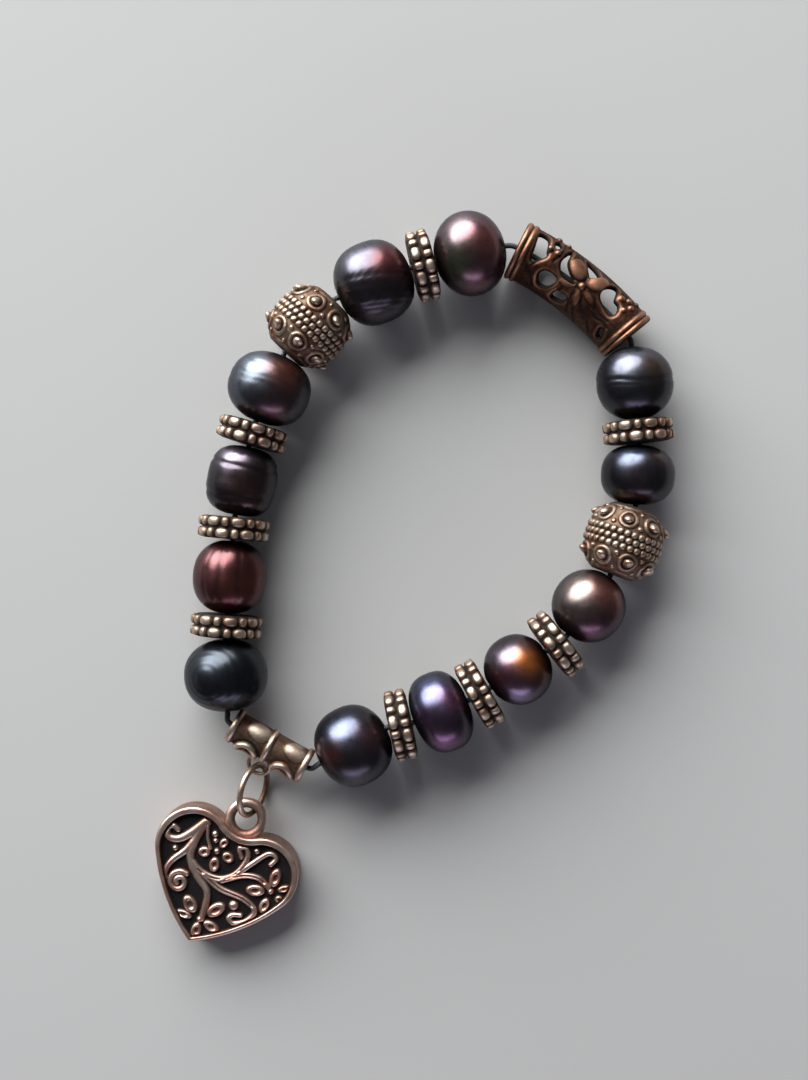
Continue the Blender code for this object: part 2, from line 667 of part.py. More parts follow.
def ring_frame(bail):
    """Centre and axes of the jump ring: it leans, high on one side, and clears the surface."""
    radius = (RING_WIDTH - RING_WIRE) / 2
    hang = bail_loop_matrix(bail).translation
    onward = Vector((math.cos(RING_HEADING), math.sin(RING_HEADING), 0.0))
    aside = Vector((onward.y, -onward.x, 0.0))
    across = aside * math.cos(RING_LEAN) + Vector((0, 0, 1)) * math.sin(RING_LEAN)
    centre = hang + onward * radius
    lowest = radius * math.sin(RING_LEAN) + RING_WIRE / 2 + FLOOR_GAP
    centre.z = max(hang.z, lowest)
    return centre, onward, across, radius


def make_ring(bail, finish):
    centre, onward, across, radius = ring_frame(bail)
    normal = onward.cross(across)
    matrix = Matrix((onward, across, normal)).transposed().to_4x4()
    matrix.translation = centre
    body = bmesh.new()
    add_ring(body, Matrix.Identity(4), radius, RING_WIRE / 2)
    return add_object("jump_ring", mesh_from("jump_ring", body), finish, matrix)


def heart_outline(inset):
    """Rounded tip, bulging sides, two lobes and a hollow between them, as (across, along)."""
    width = HEART_WIDTH
    lobe_x, lobe_y, lobe = LOBE_ACROSS * width, LOBE_ALONG * width, LOBE_RADIUS * width
    tip, side = TIP_RADIUS * width, SIDE_RADIUS * width
    rise = NOTCH_ALONG * width - lobe_y
    hollow = (lobe_x**2 + rise**2 - lobe**2) / (2 * (lobe - rise))
    hollow_y = NOTCH_ALONG * width + hollow

    # The side's arc touches the lobe's circle and the tip's circle from outside.
    span = math.hypot(lobe_x, lobe_y - tip)
    to_lobe, to_tip = side - lobe, side - tip
    along = (to_tip**2 - to_lobe**2 + span**2) / (2 * span)
    off = math.sqrt(to_tip**2 - along**2)
    ux, uy = lobe_x / span, (lobe_y - tip) / span
    side_x, side_y = ux * along - uy * off, tip + uy * along + ux * off
    lobe_start = math.atan2(lobe_y - side_y, lobe_x - side_x)
    if inset < tip:
        side_start = math.atan2(tip - side_y, -side_x)
        bottom = (0.0, inset)
    else:
        side_start = -math.acos(-side_x / (side - inset))
        bottom = (0.0, side_y + (side - inset) * math.sin(side_start))
        side_start += 0.2 * (lobe_start - side_start) / 5
    right = [(side_x + (side - inset) * math.cos(turn), side_y + (side - inset) * math.sin(turn))
             for turn in np.linspace(side_start, lobe_start, 6)]
    lobe_end = math.atan2(hollow_y - lobe_y, -lobe_x)
    right += [(lobe_x + (lobe - inset) * math.cos(turn), lobe_y + (lobe - inset) * math.sin(turn))
              for turn in np.linspace(lobe_start, lobe_end, 14)[1:]]
    start = math.atan2(lobe_y - hollow_y, lobe_x)
    right += [((hollow + inset) * math.cos(turn), hollow_y + (hollow + inset) * math.sin(turn))
              for turn in np.linspace(start, -math.pi / 2, 4)[1:-1]]
    top = (0.0, hollow_y - (hollow + inset))
    return [bottom] + right + [top] + [(-x, y) for x, y in reversed(right)]


def make_heart(bail, finish):
    """Heart with a raised rim and relief on a sunk floor, its back flat on the surface."""
    centre, onward, _, radius = ring_frame(bail)
    loop_hole = HEART_LOOP_WIDTH / 2 - HEART_LOOP_WIRE
    axis = Vector((math.cos(HEART_HEADING), math.sin(HEART_HEADING), 0.0))
    reach = HEART_LOOP_PULL * (loop_hole - RING_WIRE / 2)
    loop_centre = centre + onward * radius + axis * reach
    loop_along = NOTCH_ALONG * HEART_WIDTH + HEART_LOOP_WIDTH / 2 - HEART_LOOP_SINK
    tip = loop_centre + axis * loop_along
    tip.z = 0.0
    matrix = Matrix.Translation(tip) @ Matrix.Rotation(HEART_HEADING + math.pi / 2, 4, "Z")

    floor = HEART_THICK - HEART_RECESS
    levels = (
        (HEART_EDGE, 0.0), (0.0, HEART_EDGE), (0.0, HEART_THICK - HEART_EDGE),
        (HEART_EDGE, HEART_THICK), (HEART_RIM, HEART_THICK), (HEART_RIM + 0.1 * MM, floor),
    )
    body = bmesh.new()
    rings = [[body.verts.new((x, y, z)) for x, y in heart_outline(inset)] for inset, z in levels]
    for low, high in zip(rings, rings[1:]):
        for k in range(len(low)):
            body.faces.new((low[k - 1], low[k], high[k], high[k - 1]))
    body.faces.new(rings[0])
    body.faces.new(rings[-1])
    made = add_object("heart_charm", mesh_from("heart_charm", body, smooth=False), finish, matrix)

    ring = bmesh.new()
    add_ring(ring, Matrix.Translation((0, loop_along, HEART_LOOP_LIFT)),
             (HEART_LOOP_WIDTH - HEART_LOOP_WIRE) / 2, HEART_LOOP_WIRE / 2, 16)
    boolean(made, add_object("heart_loop", mesh_from("loop", ring), place=matrix, helper=True),
            "UNION")

    wires = bpy.data.curves.new("scrolls", "CURVE")
    wires.dimensions = "3D"
    wires.bevel_depth = SCROLL_WIDTH / 2
    wires.bevel_resolution = 0
    wires.use_fill_caps = True
    lines = [smooth_through(points, 2) * HEART_WIDTH for points in SCROLLS.values()]
    turns = np.linspace(0, 2 * math.pi * SPIRAL_TURNS, 11)
    reach = SPIRAL_RADIUS * np.linspace(1.0, 0.3, 11)
    spiral = np.column_stack([np.cos(turns + 1.2), np.sin(turns + 1.2)]) * reach[:, None]
    lines.append((spiral + SPIRAL_PLACE) * HEART_WIDTH)
    for i, line in enumerate(lines):
        spline = wires.splines.new("POLY")
        spline.points.add(len(line) - 1)
        for point, (x, y) in zip(spline.points, line):
            point.co = (x, y, floor + i * SCROLL_STEP, 1.0)
    guide = add_object("heart_scroll_lines", wires, place=matrix, helper=True)
    relief = bmesh.new()
    relief.from_mesh(bpy.data.meshes.new_from_object(guide))
    bmesh.ops.remove_doubles(relief, verts=relief.verts, dist=1e-6)
    for across, along, dot in DOTS:
        add_dome(relief, (across * HEART_WIDTH, along * HEART_WIDTH, floor),
                 (dot * HEART_WIDTH, dot * HEART_WIDTH, 2 * RELIEF_HEIGHT))
    for place, petals in FLOWERS.items():
        middle = Vector((*place, 0)) * HEART_WIDTH + Vector((0, 0, floor))
        add_dome(relief, middle, (FLOWER_MIDDLE, FLOWER_MIDDLE, 2.3 * RELIEF_HEIGHT))
        for turn, reach, long, wide in petals:
            stand = Matrix.Rotation(math.radians(turn), 4, "Z")
            out = stand @ Vector((reach * HEART_WIDTH, 0, 0))
            add_dome(relief, middle + out,
                     (long * HEART_WIDTH, wide * HEART_WIDTH, 2 * RELIEF_HEIGHT), stand)
    boolean(made, add_object("heart_relief", mesh_from("relief", relief), place=matrix,
                             helper=True), "UNION", overlapping=True)
    return made


def make_thread(pieces, finish):
    """Elastic through every hole, lying as high or low in a wide hole as its neighbours ask."""
    count = len(pieces)
    heights = []
    for i, piece in enumerate(pieces):
        beside = (pieces[i - 1].centre.z + pieces[(i + 1) % count].centre.z) / 2
        low, high = piece.centre.z - piece.slack, piece.centre.z + piece.slack
        heights.append(min(max(beside, low), high))
    points = []
    for i, piece in enumerate(pieces):
        following = pieces[(i + 1) % count]
        if piece.bend:
            inside = [piece.matrix() @ bent(share * TUBE_LENGTH / 2, 0, 0)
                      for share in (-0.6, 0.0, 0.6)]
        else:
            inside = [piece.centre.copy()]
        for point in inside:
            point.z = heights[i]
        points += inside
        join = (piece.end(1)[0] + following.end(-1)[0]) / 2
        join.z = (heights[i] + heights[(i + 1) % count]) / 2
        points.append(join)
    cord = bpy.data.curves.new("elastic_thread", "CURVE")
    cord.dimensions = "3D"
    cord.bevel_depth = THREAD_WIDTH / 2
    cord.bevel_resolution = 1
    cord.twist_mode = "Z_UP"
    spline = cord.splines.new("POLY")
    spline.points.add(len(points) - 1)
    for target, point in zip(spline.points, points):
        target.co = (*point, 1.0)
    spline.use_cyclic_u = True
    return add_object("elastic_thread", cord, finish)


def centre_on_origin():
    """Moves every object so that the visible ones lie centred over the origin, on z = 0."""
    bpy.context.view_layer.update()
    graph = bpy.context.evaluated_depsgraph_get()
    spots = []
    for item in bpy.context.scene.objects:
        if not item.hide_render:
            shape = item.evaluated_get(graph)
            mesh = shape.to_mesh()
            spots += [shape.matrix_world @ vertex.co for vertex in mesh.vertices]
            shape.to_mesh_clear()
    spots = np.array(spots)
    low, high = spots.min(axis=0), spots.max(axis=0)
    middle = Vector(((low[0] + high[0]) / 2, (low[1] + high[1]) / 2, low[2]))
    for item in bpy.context.scene.objects:
        item.location -= middle


def main():
    clear_scene()
    silver = material("antiqued_silver", SILVER_COLOUR, 1.0, 0.38)
    copper = material("antiqued_copper", COPPER_COLOUR, 1.0, 0.40)
    elastic = material("elastic", THREAD_COLOUR, 0.0, 0.6)
    pieces = lay_string()
    makers = {"spacer": make_spacer, "carved": make_barrel}
    for piece in pieces:
        kind = piece.name.split("_")[0]
        if kind == "pearl":
            make_pearl(piece, material(piece.name, PEARL_COLOURS[piece.name], 0.3, 0.2))
        elif kind in makers:
            makers[kind](piece, silver)
        elif kind == "filigree":
            make_tube(piece, copper)
        else:
            make_bail(piece, silver)
    bail = next(piece for piece in pieces if piece.name == "charm_bail")
    make_ring(bail, silver)
    make_heart(bail, silver)
    make_thread(pieces, elastic)
    centre_on_origin()


main()
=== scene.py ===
"""Pearl bracelet, dressed: nacre, grained and pierced metal and a relief heart over the frame.

Each new piece is a surface worked out with numpy where its solid lies, in metres, +Z up.
"""

import json
import math

import bpy
import numpy as np
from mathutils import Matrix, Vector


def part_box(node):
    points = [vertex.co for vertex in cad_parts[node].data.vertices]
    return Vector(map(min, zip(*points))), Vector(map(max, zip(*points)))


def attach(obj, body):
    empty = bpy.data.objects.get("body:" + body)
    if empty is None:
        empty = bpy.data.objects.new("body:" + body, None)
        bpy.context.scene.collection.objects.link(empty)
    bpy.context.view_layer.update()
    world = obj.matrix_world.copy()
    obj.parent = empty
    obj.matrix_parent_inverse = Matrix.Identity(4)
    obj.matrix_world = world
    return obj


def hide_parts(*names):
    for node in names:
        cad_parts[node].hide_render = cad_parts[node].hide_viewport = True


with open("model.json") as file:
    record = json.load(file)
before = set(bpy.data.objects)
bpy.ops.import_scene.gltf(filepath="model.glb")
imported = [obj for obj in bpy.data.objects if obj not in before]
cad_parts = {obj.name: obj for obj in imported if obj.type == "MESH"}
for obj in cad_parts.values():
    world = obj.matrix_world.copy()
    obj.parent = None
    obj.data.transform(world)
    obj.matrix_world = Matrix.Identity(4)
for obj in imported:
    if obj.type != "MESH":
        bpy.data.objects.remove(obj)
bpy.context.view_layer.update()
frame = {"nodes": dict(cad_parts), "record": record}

MM = 0.001

# The string in order, clockwise seen from above, starting at the pearl after the tube.
STRING = (
    "pearl_01 spacer_01 pearl_02 carved_bead_1 pearl_03 spacer_02 pearl_04 spacer_03 pearl_05 "
    "spacer_04 pearl_06 charm_bail pearl_07 spacer_05 pearl_08 spacer_06 pearl_09 spacer_07 "
    "pearl_10 carved_bead_2 pearl_11 spacer_08 pearl_12 filigree_tube"
).split()

# Pearls
PEARL_HOLE = 1.3 * MM
PEARL_END_FACE = 2.4 * MM
PEARL_UNEVEN = 0.018  # share of the radius
GROOVE_DEEP, GROOVE_DARKER = 0.12 * MM, 0.35  # from that depth on it is a share darker
PEARL_ROWS, PEARL_COLUMNS = 74, 112

# Granulated spacers
SPACER_HOLE = 2.4 * MM
SPACER_GRAIN = 0.55 * MM
SPACER_PAIRS = 8
SPACER_ROWS, SPACER_STEPS = 28, 28  # along, and round within one pair of grains
SPACER_EDGE, SPACER_EDGE_DROP = 0.25 * MM, 0.35 * MM

# Carved barrel beads
BARREL_WIDTH = 9.5 * MM
BARREL_HOLE = 2.4 * MM
BARREL_COLLAR = 5.0 * MM
ROPE_WIDTH = 0.88 * MM
ROPE_HEIGHT = 0.34 * MM
ROPE_GRAINS = 32
BOSS_WIDTH = 2.3 * MM
BOSS_HEIGHT = 0.55 * MM
BOSSES_ROUND = 8
KNOB_TALLER, KNOB_LIFTED = 0.10 * MM, 0.28 * MM
LOW_RELIEF = 0.26 * MM  # the bosses' rings and the dots between them
WEAR_DEPTH = 0.26 * MM  # a point that stands this far over what is round it is rubbed bright
COLLAR_RING_HEIGHT, COLLAR_RING_HALF = 0.14 * MM, 0.34 * MM
BARREL_ROWS, BARREL_COLUMNS = 150, 360

# Pierced tube
TUBE_LENGTH = 18.5 * MM
TUBE_WIDTH = 7.3 * MM
TUBE_WALL = 0.60 * MM
TUBE_BEND_RADIUS = 42.0 * MM
TUBE_RIM_WIDTH = 1.5 * MM
TUBE_RIM_HEIGHT = 0.22 * MM
PETAL_LENGTH = 2.9 * MM
PETAL_WIDTH = 1.8 * MM
PETAL_HEIGHT = 0.35 * MM
FLOWER_REACH = 3.6 * MM
FLOWER_CORE, FLOWER_CORE_HEIGHT = 0.48 * MM, 0.42 * MM
VEIN_WIDTH, VEIN_DEPTH = 0.14 * MM, 0.14 * MM
TUBE_KNOB_HEIGHT = 0.30 * MM
TUBE_EDGE_REACH = 0.9 * MM  # how far off an opening its edge still shapes the strips
TUBE_ROWS, TUBE_COLUMNS = 168, 200

# Charm bail
BAIL_WIDTH = 4.9 * MM
BAIL_HOLE = 2.6 * MM
BAIL_LOOP_WIDTH = 3.4 * MM
BAIL_LOOP_WIRE = 0.55 * MM
BAIL_LOOP_DROP = math.radians(25)
BAIL_LOOP_SINK = 0.55 * MM
BAIL_BOSS_TURN, BAIL_ARCH_TURN = math.radians(-36), math.radians(70)
BAIL_BOSS_LONG, BAIL_BOSS_WIDE, BAIL_BOSS_HEIGHT = 1.75 * MM, 1.35 * MM, 0.42 * MM
BAIL_ARCH_RADIUS, BAIL_ARCH_HALF, BAIL_ARCH_HEIGHT = 1.38 * MM, 0.38 * MM, 0.62 * MM
BAIL_BOSS_SHIFT, BAIL_ARCH_SHIFT = 0.75 * MM, 0.25 * MM
BAIL_OPENING = 1.06 * MM
BAIL_ROWS, BAIL_COLUMNS = 150, 220

# Jump ring and the two loops of wire
RING_WIRE = 0.78 * MM
RING_STEEPER = math.radians(9)
RING_SEAM = math.radians(200)
SEAM_DEPTH, SEAM_WIDTH = 0.35, 0.10 * MM
WIRE_STEPS, WIRE_SIDES = 144, 28

# Heart charm
HEART_RELIEF = 0.50 * MM
HEART_WIDTH = 19.2 * MM
HEART_THICK = 4.4 * MM
HEART_EDGE = 0.30 * MM
HEART_RIM = 0.65 * MM
HEART_RECESS = 0.80 * MM
HEART_HEADING = math.radians(245)
HEART_LOOP_WIDTH = 5.5 * MM
HEART_LOOP_WIRE = 1.30 * MM
HEART_LOOP_SINK = 0.6 * MM
HEART_LOOP_LIFT = 2.8 * MM
LOBE_ACROSS, LOBE_ALONG, LOBE_RADIUS = 0.249, 0.593, 0.254
SIDE_RADIUS, TIP_RADIUS = 1.25, 0.030
NOTCH_ALONG = 0.775
STROKE_HALF = 0.62 * MM
HEART_CORE_HALF = 0.45 * MM
FLOOR_MIDDLE_ALONG = 0.46
FLOOR_RINGS = 92

# Elastic
THREAD_WIDTH = 0.7 * MM
THREAD_SIDES = 12
THREAD_NEAR = 0.45 * MM  # points of its solid this close to a stop give its height there

# View: straight down, as the photograph was taken
VIEW_OVER = (-1.341 * MM, 4.843 * MM)
VIEW_HEIGHT = 189.8 * MM
BEAD_LEVEL = 4.8 * MM
FRAME_TALL = 138.24 * MM  # what the frame's height covers at the beads' level


def smooth_line(points, steps, closed=False):
    """Rounded line through chosen points: each span is the cubic whose slopes there are half the
    way from the point before to the point after."""
    points = np.asarray(points, float)
    if closed:
        padded = np.vstack([points[-1:], points, points[:2]])
    else:
        padded = np.vstack([2 * points[:1] - points[1:2], points, 2 * points[-1:] - points[-2:-1]])
    before, start, stop, after = padded[:-3], padded[1:-2], padded[2:-1], padded[3:]
    t = np.linspace(0, 1, steps, endpoint=False)[None, :, None]
    before, start, stop, after = (p[:, None, :] for p in (before, start, stop, after))
    line = start + 0.5 * t * (
        stop - before + t * (2 * before - 5 * start + 4 * stop - after
                             + t * (3 * (start - stop) + after - before)))
    line = line.reshape(-1, points.shape[1])
    return line if closed else np.vstack([line, points[-1:]])


def nearest_on(line, spots, closed=False):
    """For each spot the distance to a line of straight runs, the nearest point and how far along
    the line it lies, as a share: the least over all runs, each clamped to its ends."""
    start = line if closed else line[:-1]
    stop = np.roll(line, -1, axis=0) if closed else line[1:]
    run = stop - start
    length = np.linalg.norm(run, axis=1)
    travelled = np.concatenate([[0.0], np.cumsum(length)])
    best = np.full(len(spots), np.inf)
    nearest, share = np.zeros_like(spots), np.zeros(len(spots))
    for k in range(len(run)):
        t = np.clip((spots - start[k]) @ run[k] / max(length[k] ** 2, 1e-18), 0, 1)
        point = start[k] + t[:, None] * run[k]
        away = np.linalg.norm(spots - point, axis=1)
        closer = away < best
        best[closer], nearest[closer] = away[closer], point[closer]
        share[closer] = (travelled[k] + t[closer] * length[k]) / travelled[-1]
    return best, nearest, share


def inside(outline, spots):
    """Whether each spot lies within a closed outline: an odd number of its runs cross the ray
    that leaves the spot along the first axis."""
    odd = np.zeros(len(spots), bool)
    for (x0, y0), (x1, y1) in zip(outline, np.roll(outline, -1, axis=0)):
        level = (y0 > spots[:, 1]) != (y1 > spots[:, 1])
        if y0 != y1:
            odd ^= level & (spots[:, 0] < (x1 - x0) * (spots[:, 1] - y0) / (y1 - y0) + x0)
    return odd


def wrapped(angle):
    """The same angle, brought within half a turn of zero."""
    return np.angle(np.exp(1j * angle))


def turns_round(count, start=0.0):
    """The angles of that many equal steps round a full turn."""
    return start + np.linspace(0, 2 * np.pi, count, endpoint=False)


def turned_offsets(off, degrees):
    """Flat offsets measured along a direction at those degrees and square to it."""
    lean = math.radians(degrees)
    return (off[:, 0] * math.cos(lean) + off[:, 1] * math.sin(lean),
            off[:, 1] * math.cos(lean) - off[:, 0] * math.sin(lean))


def rounded(distance, half_width):
    """Half-round ridge: the height of a circle of that half width over its middle, 0 beyond."""
    return np.sqrt(np.clip(1 - (distance / half_width) ** 2, 0, 1))


def eased(value, low, high):
    """Smooth step from 0 at low to 1 at high."""
    t = np.clip((value - low) / (high - low), 0, 1)
    return t * t * (3 - 2 * t)


def dip(distance, width):
    """Bell of height 1 and about that width."""
    return np.exp(-(distance / width) ** 2)


def wear(relief, depth, steps=(1, 2, 4)):
    """Mark of an antiqued surface: a half where it is even, less in a hollow and more on a height.
    It is how far the relief stands over the mean of the points round it, in shares of the depth."""
    mean = relief
    for step in steps:
        for way in (0, 1):
            mean = (mean + np.roll(mean, step, way) + np.roll(mean, -step, way)) / 3
    return np.clip(0.5 + 0.5 * (relief - mean) / depth, 0, 1)


def grid_faces(rows, columns, close_rows=True, close_columns=True):
    """Four-sided faces between neighbours of a grid; a closed way joins its last to its first."""
    index = np.arange(rows * columns).reshape(rows, columns)
    if close_rows:
        index = np.vstack([index, index[:1]])
    if close_columns:
        index = np.hstack([index, index[:, :1]])
    return np.stack([index[:-1, :-1], index[1:, :-1], index[1:, 1:], index[:-1, 1:]],
                    axis=-1).reshape(-1, 4)


def lay(name, points, faces, finish, slot, caps=(), **marks):
    """Makes one piece of points and faces, turned to face outwards, that rides on the frame.

    The signed volume under the faces says which way they look. Marks are values for each point
    that the finish reads: one number, or a colour.
    """
    points = np.asarray(points, float).reshape(-1, 3)
    caps = [list(cap) for cap in caps]
    middle = points.mean(axis=0)
    a, b, c, d = (points[faces[:, k]] - middle for k in range(4))
    volume = np.einsum("ij,ij->i", a, np.cross(b, c) + np.cross(c, d)).sum()
    quads = faces if volume > 0 else faces[:, ::-1]
    caps = caps if volume > 0 else [cap[::-1] for cap in caps]
    mesh = bpy.data.meshes.new(name)
    mesh.from_pydata(points.tolist(), [], quads.tolist() + caps)
    for mark, values in marks.items():
        values = np.asarray(values, np.float32).reshape(len(points), -1)
        if values.shape[1] == 3:
            kept = mesh.attributes.new(mark, "FLOAT_COLOR", "POINT")
            whole = np.column_stack([values, np.ones(len(values), np.float32)])
            kept.data.foreach_set("color", whole.ravel())
        else:
            kept = mesh.attributes.new(mark, "FLOAT", "POINT")
            kept.data.foreach_set("value", values.ravel())
    mesh.polygons.foreach_set("use_smooth", np.ones(len(mesh.polygons), bool))
    mesh.materials.append(finish)
    mesh.update()
    piece = bpy.data.objects.new(name, mesh)
    bpy.context.scene.collection.objects.link(piece)
    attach(piece, "root")
    return piece


def mesh_rows(items, field, width=3):
    """One field of a mesh's points or faces, as a row of numbers for each."""
    values = np.empty(width * len(items))
    items.foreach_get(field, values)
    return values.reshape(-1, width)


def solid_points(node):
    """The points of a node's solid."""
    return mesh_rows(frame["nodes"][node].data.vertices, "co")


def flat_ends(node):
    """Centres of both flat ends of a strung solid.

    A face belongs to an end when it stands upright and no point of the solid lies beyond its
    plane; the ends are the two such planes with the largest areas.
    """
    polygons = frame["nodes"][node].data.polygons
    normals, middles = mesh_rows(polygons, "normal"), mesh_rows(polygons, "center")
    areas = mesh_rows(polygons, "area", 1)[:, 0]
    upright = (np.abs(normals[:, 2]) < 0.01) & (areas > 1e-10)
    normals, middles, areas = normals[upright], middles[upright], areas[upright]
    beyond = (solid_points(node) @ normals.T).max(axis=0) - (middles * normals).sum(axis=1)
    outermost = beyond < 0.02 * MM
    normals, middles, areas = normals[outermost], middles[outermost], areas[outermost]
    together = normals @ normals.T > 0.999
    shared = together @ areas
    ends = []
    for _ in range(2):
        side = together[shared.argmax()]
        ends.append((middles[side] * areas[side, None]).sum(axis=0) / areas[side].sum())
        shared[side] = 0
    return ends


class Seat:
    """Where a strung piece lies: its two ends, its middle, its own along, outside and up
    directions, and half its height as its radius."""

    def __init__(self, node, following):
        onward = np.mean(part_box(following), axis=0)
        self.back, self.front = sorted(
            flat_ends(node), key=lambda end: -np.linalg.norm(end - onward))
        run = self.front - self.back
        self.chord = np.linalg.norm(run)
        self.centre = (self.front + self.back) / 2
        self.along = run / self.chord
        self.up = np.array([0.0, 0.0, 1.0])
        self.out = np.cross(self.up, self.along)
        low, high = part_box(node)
        self.radius = (high[2] - low[2]) / 2

    def placed(self, x, y, z):
        """World points for distances along, to the outside and up."""
        return (self.centre + x[..., None] * self.along + y[..., None] * self.out
                + z[..., None] * self.up)

    def laid(self, x, around, reach):
        """World points for a distance along, an angle from the top towards the loop's outside
        and a distance from the string."""
        return self.placed(x, reach * np.sin(around), reach * np.cos(around))


seats = {name: Seat(name, STRING[(k + 1) % len(STRING)]) for k, name in enumerate(STRING)}


# Finishes

def shader_of(name):
    """A new material with its node tree and Principled shader."""
    made = bpy.data.materials.new(name)
    made.use_nodes = True
    return made, made.node_tree, made.node_tree.nodes["Principled BSDF"]


def feed(tree, node, values):
    """Links or sets a node's inputs: each value is another node's socket, or a number or colour
    that is the same all over."""
    for name, value in values.items():
        if isinstance(value, bpy.types.NodeSocket):
            tree.links.new(value, node.inputs[name])
        else:
            node.inputs[name].default_value = value
    return node


def blend_colours(tree, share, low, high):
    """Mixes two colours, each a value or a socket, by a socket's share."""
    mix = tree.nodes.new("ShaderNodeMix")
    mix.data_type = "RGBA"
    places = {socket.name: k for k, socket in enumerate(mix.inputs) if socket.type == "RGBA"}
    low, high = ((*c, 1.0) if isinstance(c, tuple) else c for c in (low, high))
    feed(tree, mix, {"Factor": share, places["A"]: low, places["B"]: high})
    return next(socket for socket in mix.outputs if socket.type == "RGBA")


def spread(tree, value, low, high, start=0.0, stop=1.0):
    """Maps a socket's range low..high onto start..stop, clamped."""
    return feed(tree, tree.nodes.new("ShaderNodeMapRange"), {
        "Value": value, "From Min": low, "From Max": high, "To Min": start, "To Max": stop,
    }).outputs["Result"]


def speckle(tree, size, detail=3.0, roughness=0.5):
    """Noise of about that grain size in metres, on the object's own coordinates."""
    place = tree.nodes.new("ShaderNodeTexCoord").outputs["Object"]
    return feed(tree, tree.nodes.new("ShaderNodeTexNoise"), {
        "Vector": place, "Scale": 1.0 / size, "Detail": detail, "Roughness": roughness,
    }).outputs["Fac"]


def times_plus(tree, value, factor, added):
    """A socket times a number, plus another socket."""
    both = tree.nodes.new("ShaderNodeMath")
    both.operation = "MULTIPLY_ADD"
    return feed(tree, both, {0: value, 1: factor, 2: added}).outputs[0]


def bumped(tree, height, depth):
    """The direction of a surface that a height socket roughens to that depth in metres."""
    return feed(tree, tree.nodes.new("ShaderNodeBump"), {
        "Height": height, "Strength": 1.0, "Distance": depth}).outputs["Normal"]


def read_mark(tree, mark, output="Fac"):
    """The piece's own values under that name, as a socket."""
    node = tree.nodes.new("ShaderNodeAttribute")
    node.attribute_name = mark
    return node.outputs[output]


def antiqued_metal(name, recess, body, stain, worn, shine=0.30, dull=0.62):
    """Cast alloy with dark polish left in its recesses and its high places rubbed bright, with
    clouds of a redder stain.

    The mark "height" runs from 0 in a recess to 1 on the highest relief; noise breaks its edges.
    Shine and dull are the roughness of high and of low places, before a fine unevenness.
    """
    made, tree, shader = shader_of(name)
    share = times_plus(tree, speckle(tree, 0.45 * MM, 5.0, 0.62), 0.34, read_mark(tree, "height"))
    cloud = spread(tree, speckle(tree, 3.2 * MM, 3.0, 0.55), 0.44, 0.60, 0.0, 0.90)
    stained_worn = tuple(0.5 * bright + 1.1 * red for bright, red in zip(worn, stain))
    low = blend_colours(tree, spread(tree, share, 0.26, 0.56), recess,
                        blend_colours(tree, cloud, body, stain))
    high = blend_colours(tree, cloud, worn, stained_worn)
    feed(tree, shader, {
        "Base Color": blend_colours(tree, spread(tree, share, 0.66, 1.06), low, high),
        "Metallic": spread(tree, share, 0.15, 0.5, 0.35, 1.0),
        "Roughness": times_plus(tree, speckle(tree, 0.9 * MM, 4.0), 0.22,
                                spread(tree, share, 0.25, 1.0, dull, shine)),
        "Normal": bumped(tree, speckle(tree, 0.16 * MM, 4.0, 0.6), 0.020 * MM)})
    return made


def nacre(name):
    """Dyed nacre: the point colour mark read below gives its overtones, together with a painted
    highlight on the upper left and a painted reflection low down; a fine mottle darkens them in
    places, and a soft clear coat over a nearly metallic body gives the shine."""
    made, tree, shader = shader_of(name)
    tint = read_mark(tree, "tint", "Color")
    darker = feed(tree, tree.nodes.new("ShaderNodeHueSaturation"), {
        "Color": tint, "Value": 0.62, "Hue": 0.52}).outputs["Color"]
    mottle = spread(tree, speckle(tree, 1.5 * MM, 5.0, 0.6), 0.35, 0.70)
    feed(tree, shader, {
        "Base Color": blend_colours(tree, mottle, tint, darker),
        "Metallic": 0.88, "Specular Tint": (0.45, 0.45, 0.50, 1),
        "Coat Weight": 0.50, "Coat Roughness": 0.29, "Coat IOR": 1.6,
        "Roughness": spread(tree, speckle(tree, 1.1 * MM, 4.0), 0.3, 0.7, 0.26, 0.38),
        "Normal": bumped(tree, speckle(tree, 0.8 * MM, 4.0, 0.55), 0.012 * MM)})
    return made


def plain_rubber(name, colour):
    """Dull rubber of one colour with a faint lighter mottle."""
    made, tree, shader = shader_of(name)
    lighter = tuple(1.6 * c for c in colour)
    feed(tree, shader, {
        "Base Color": blend_colours(tree, speckle(tree, 0.3 * MM), colour, lighter),
        "Roughness": 0.55, "Normal": bumped(tree, speckle(tree, 0.12 * MM), 0.01 * MM)})
    return made


silver = antiqued_metal(
    "antiqued_silver", recess=(0.010, 0.006, 0.005), body=(0.205, 0.137, 0.095),
    stain=(0.125, 0.052, 0.032), worn=(0.70, 0.575, 0.455))
copper = antiqued_metal(
    "antiqued_copper", recess=(0.007, 0.004, 0.003), body=(0.072, 0.034, 0.022),
    stain=(0.040, 0.017, 0.011), worn=(0.46, 0.235, 0.145), shine=0.32)
heart_silver = antiqued_metal(
    "heart_silver", recess=(0.006, 0.004, 0.004), body=(0.26, 0.160, 0.125),
    stain=(0.25, 0.100, 0.062), worn=(0.78, 0.61, 0.52), shine=0.27)
elastic = plain_rubber("elastic", (0.035, 0.032, 0.032))
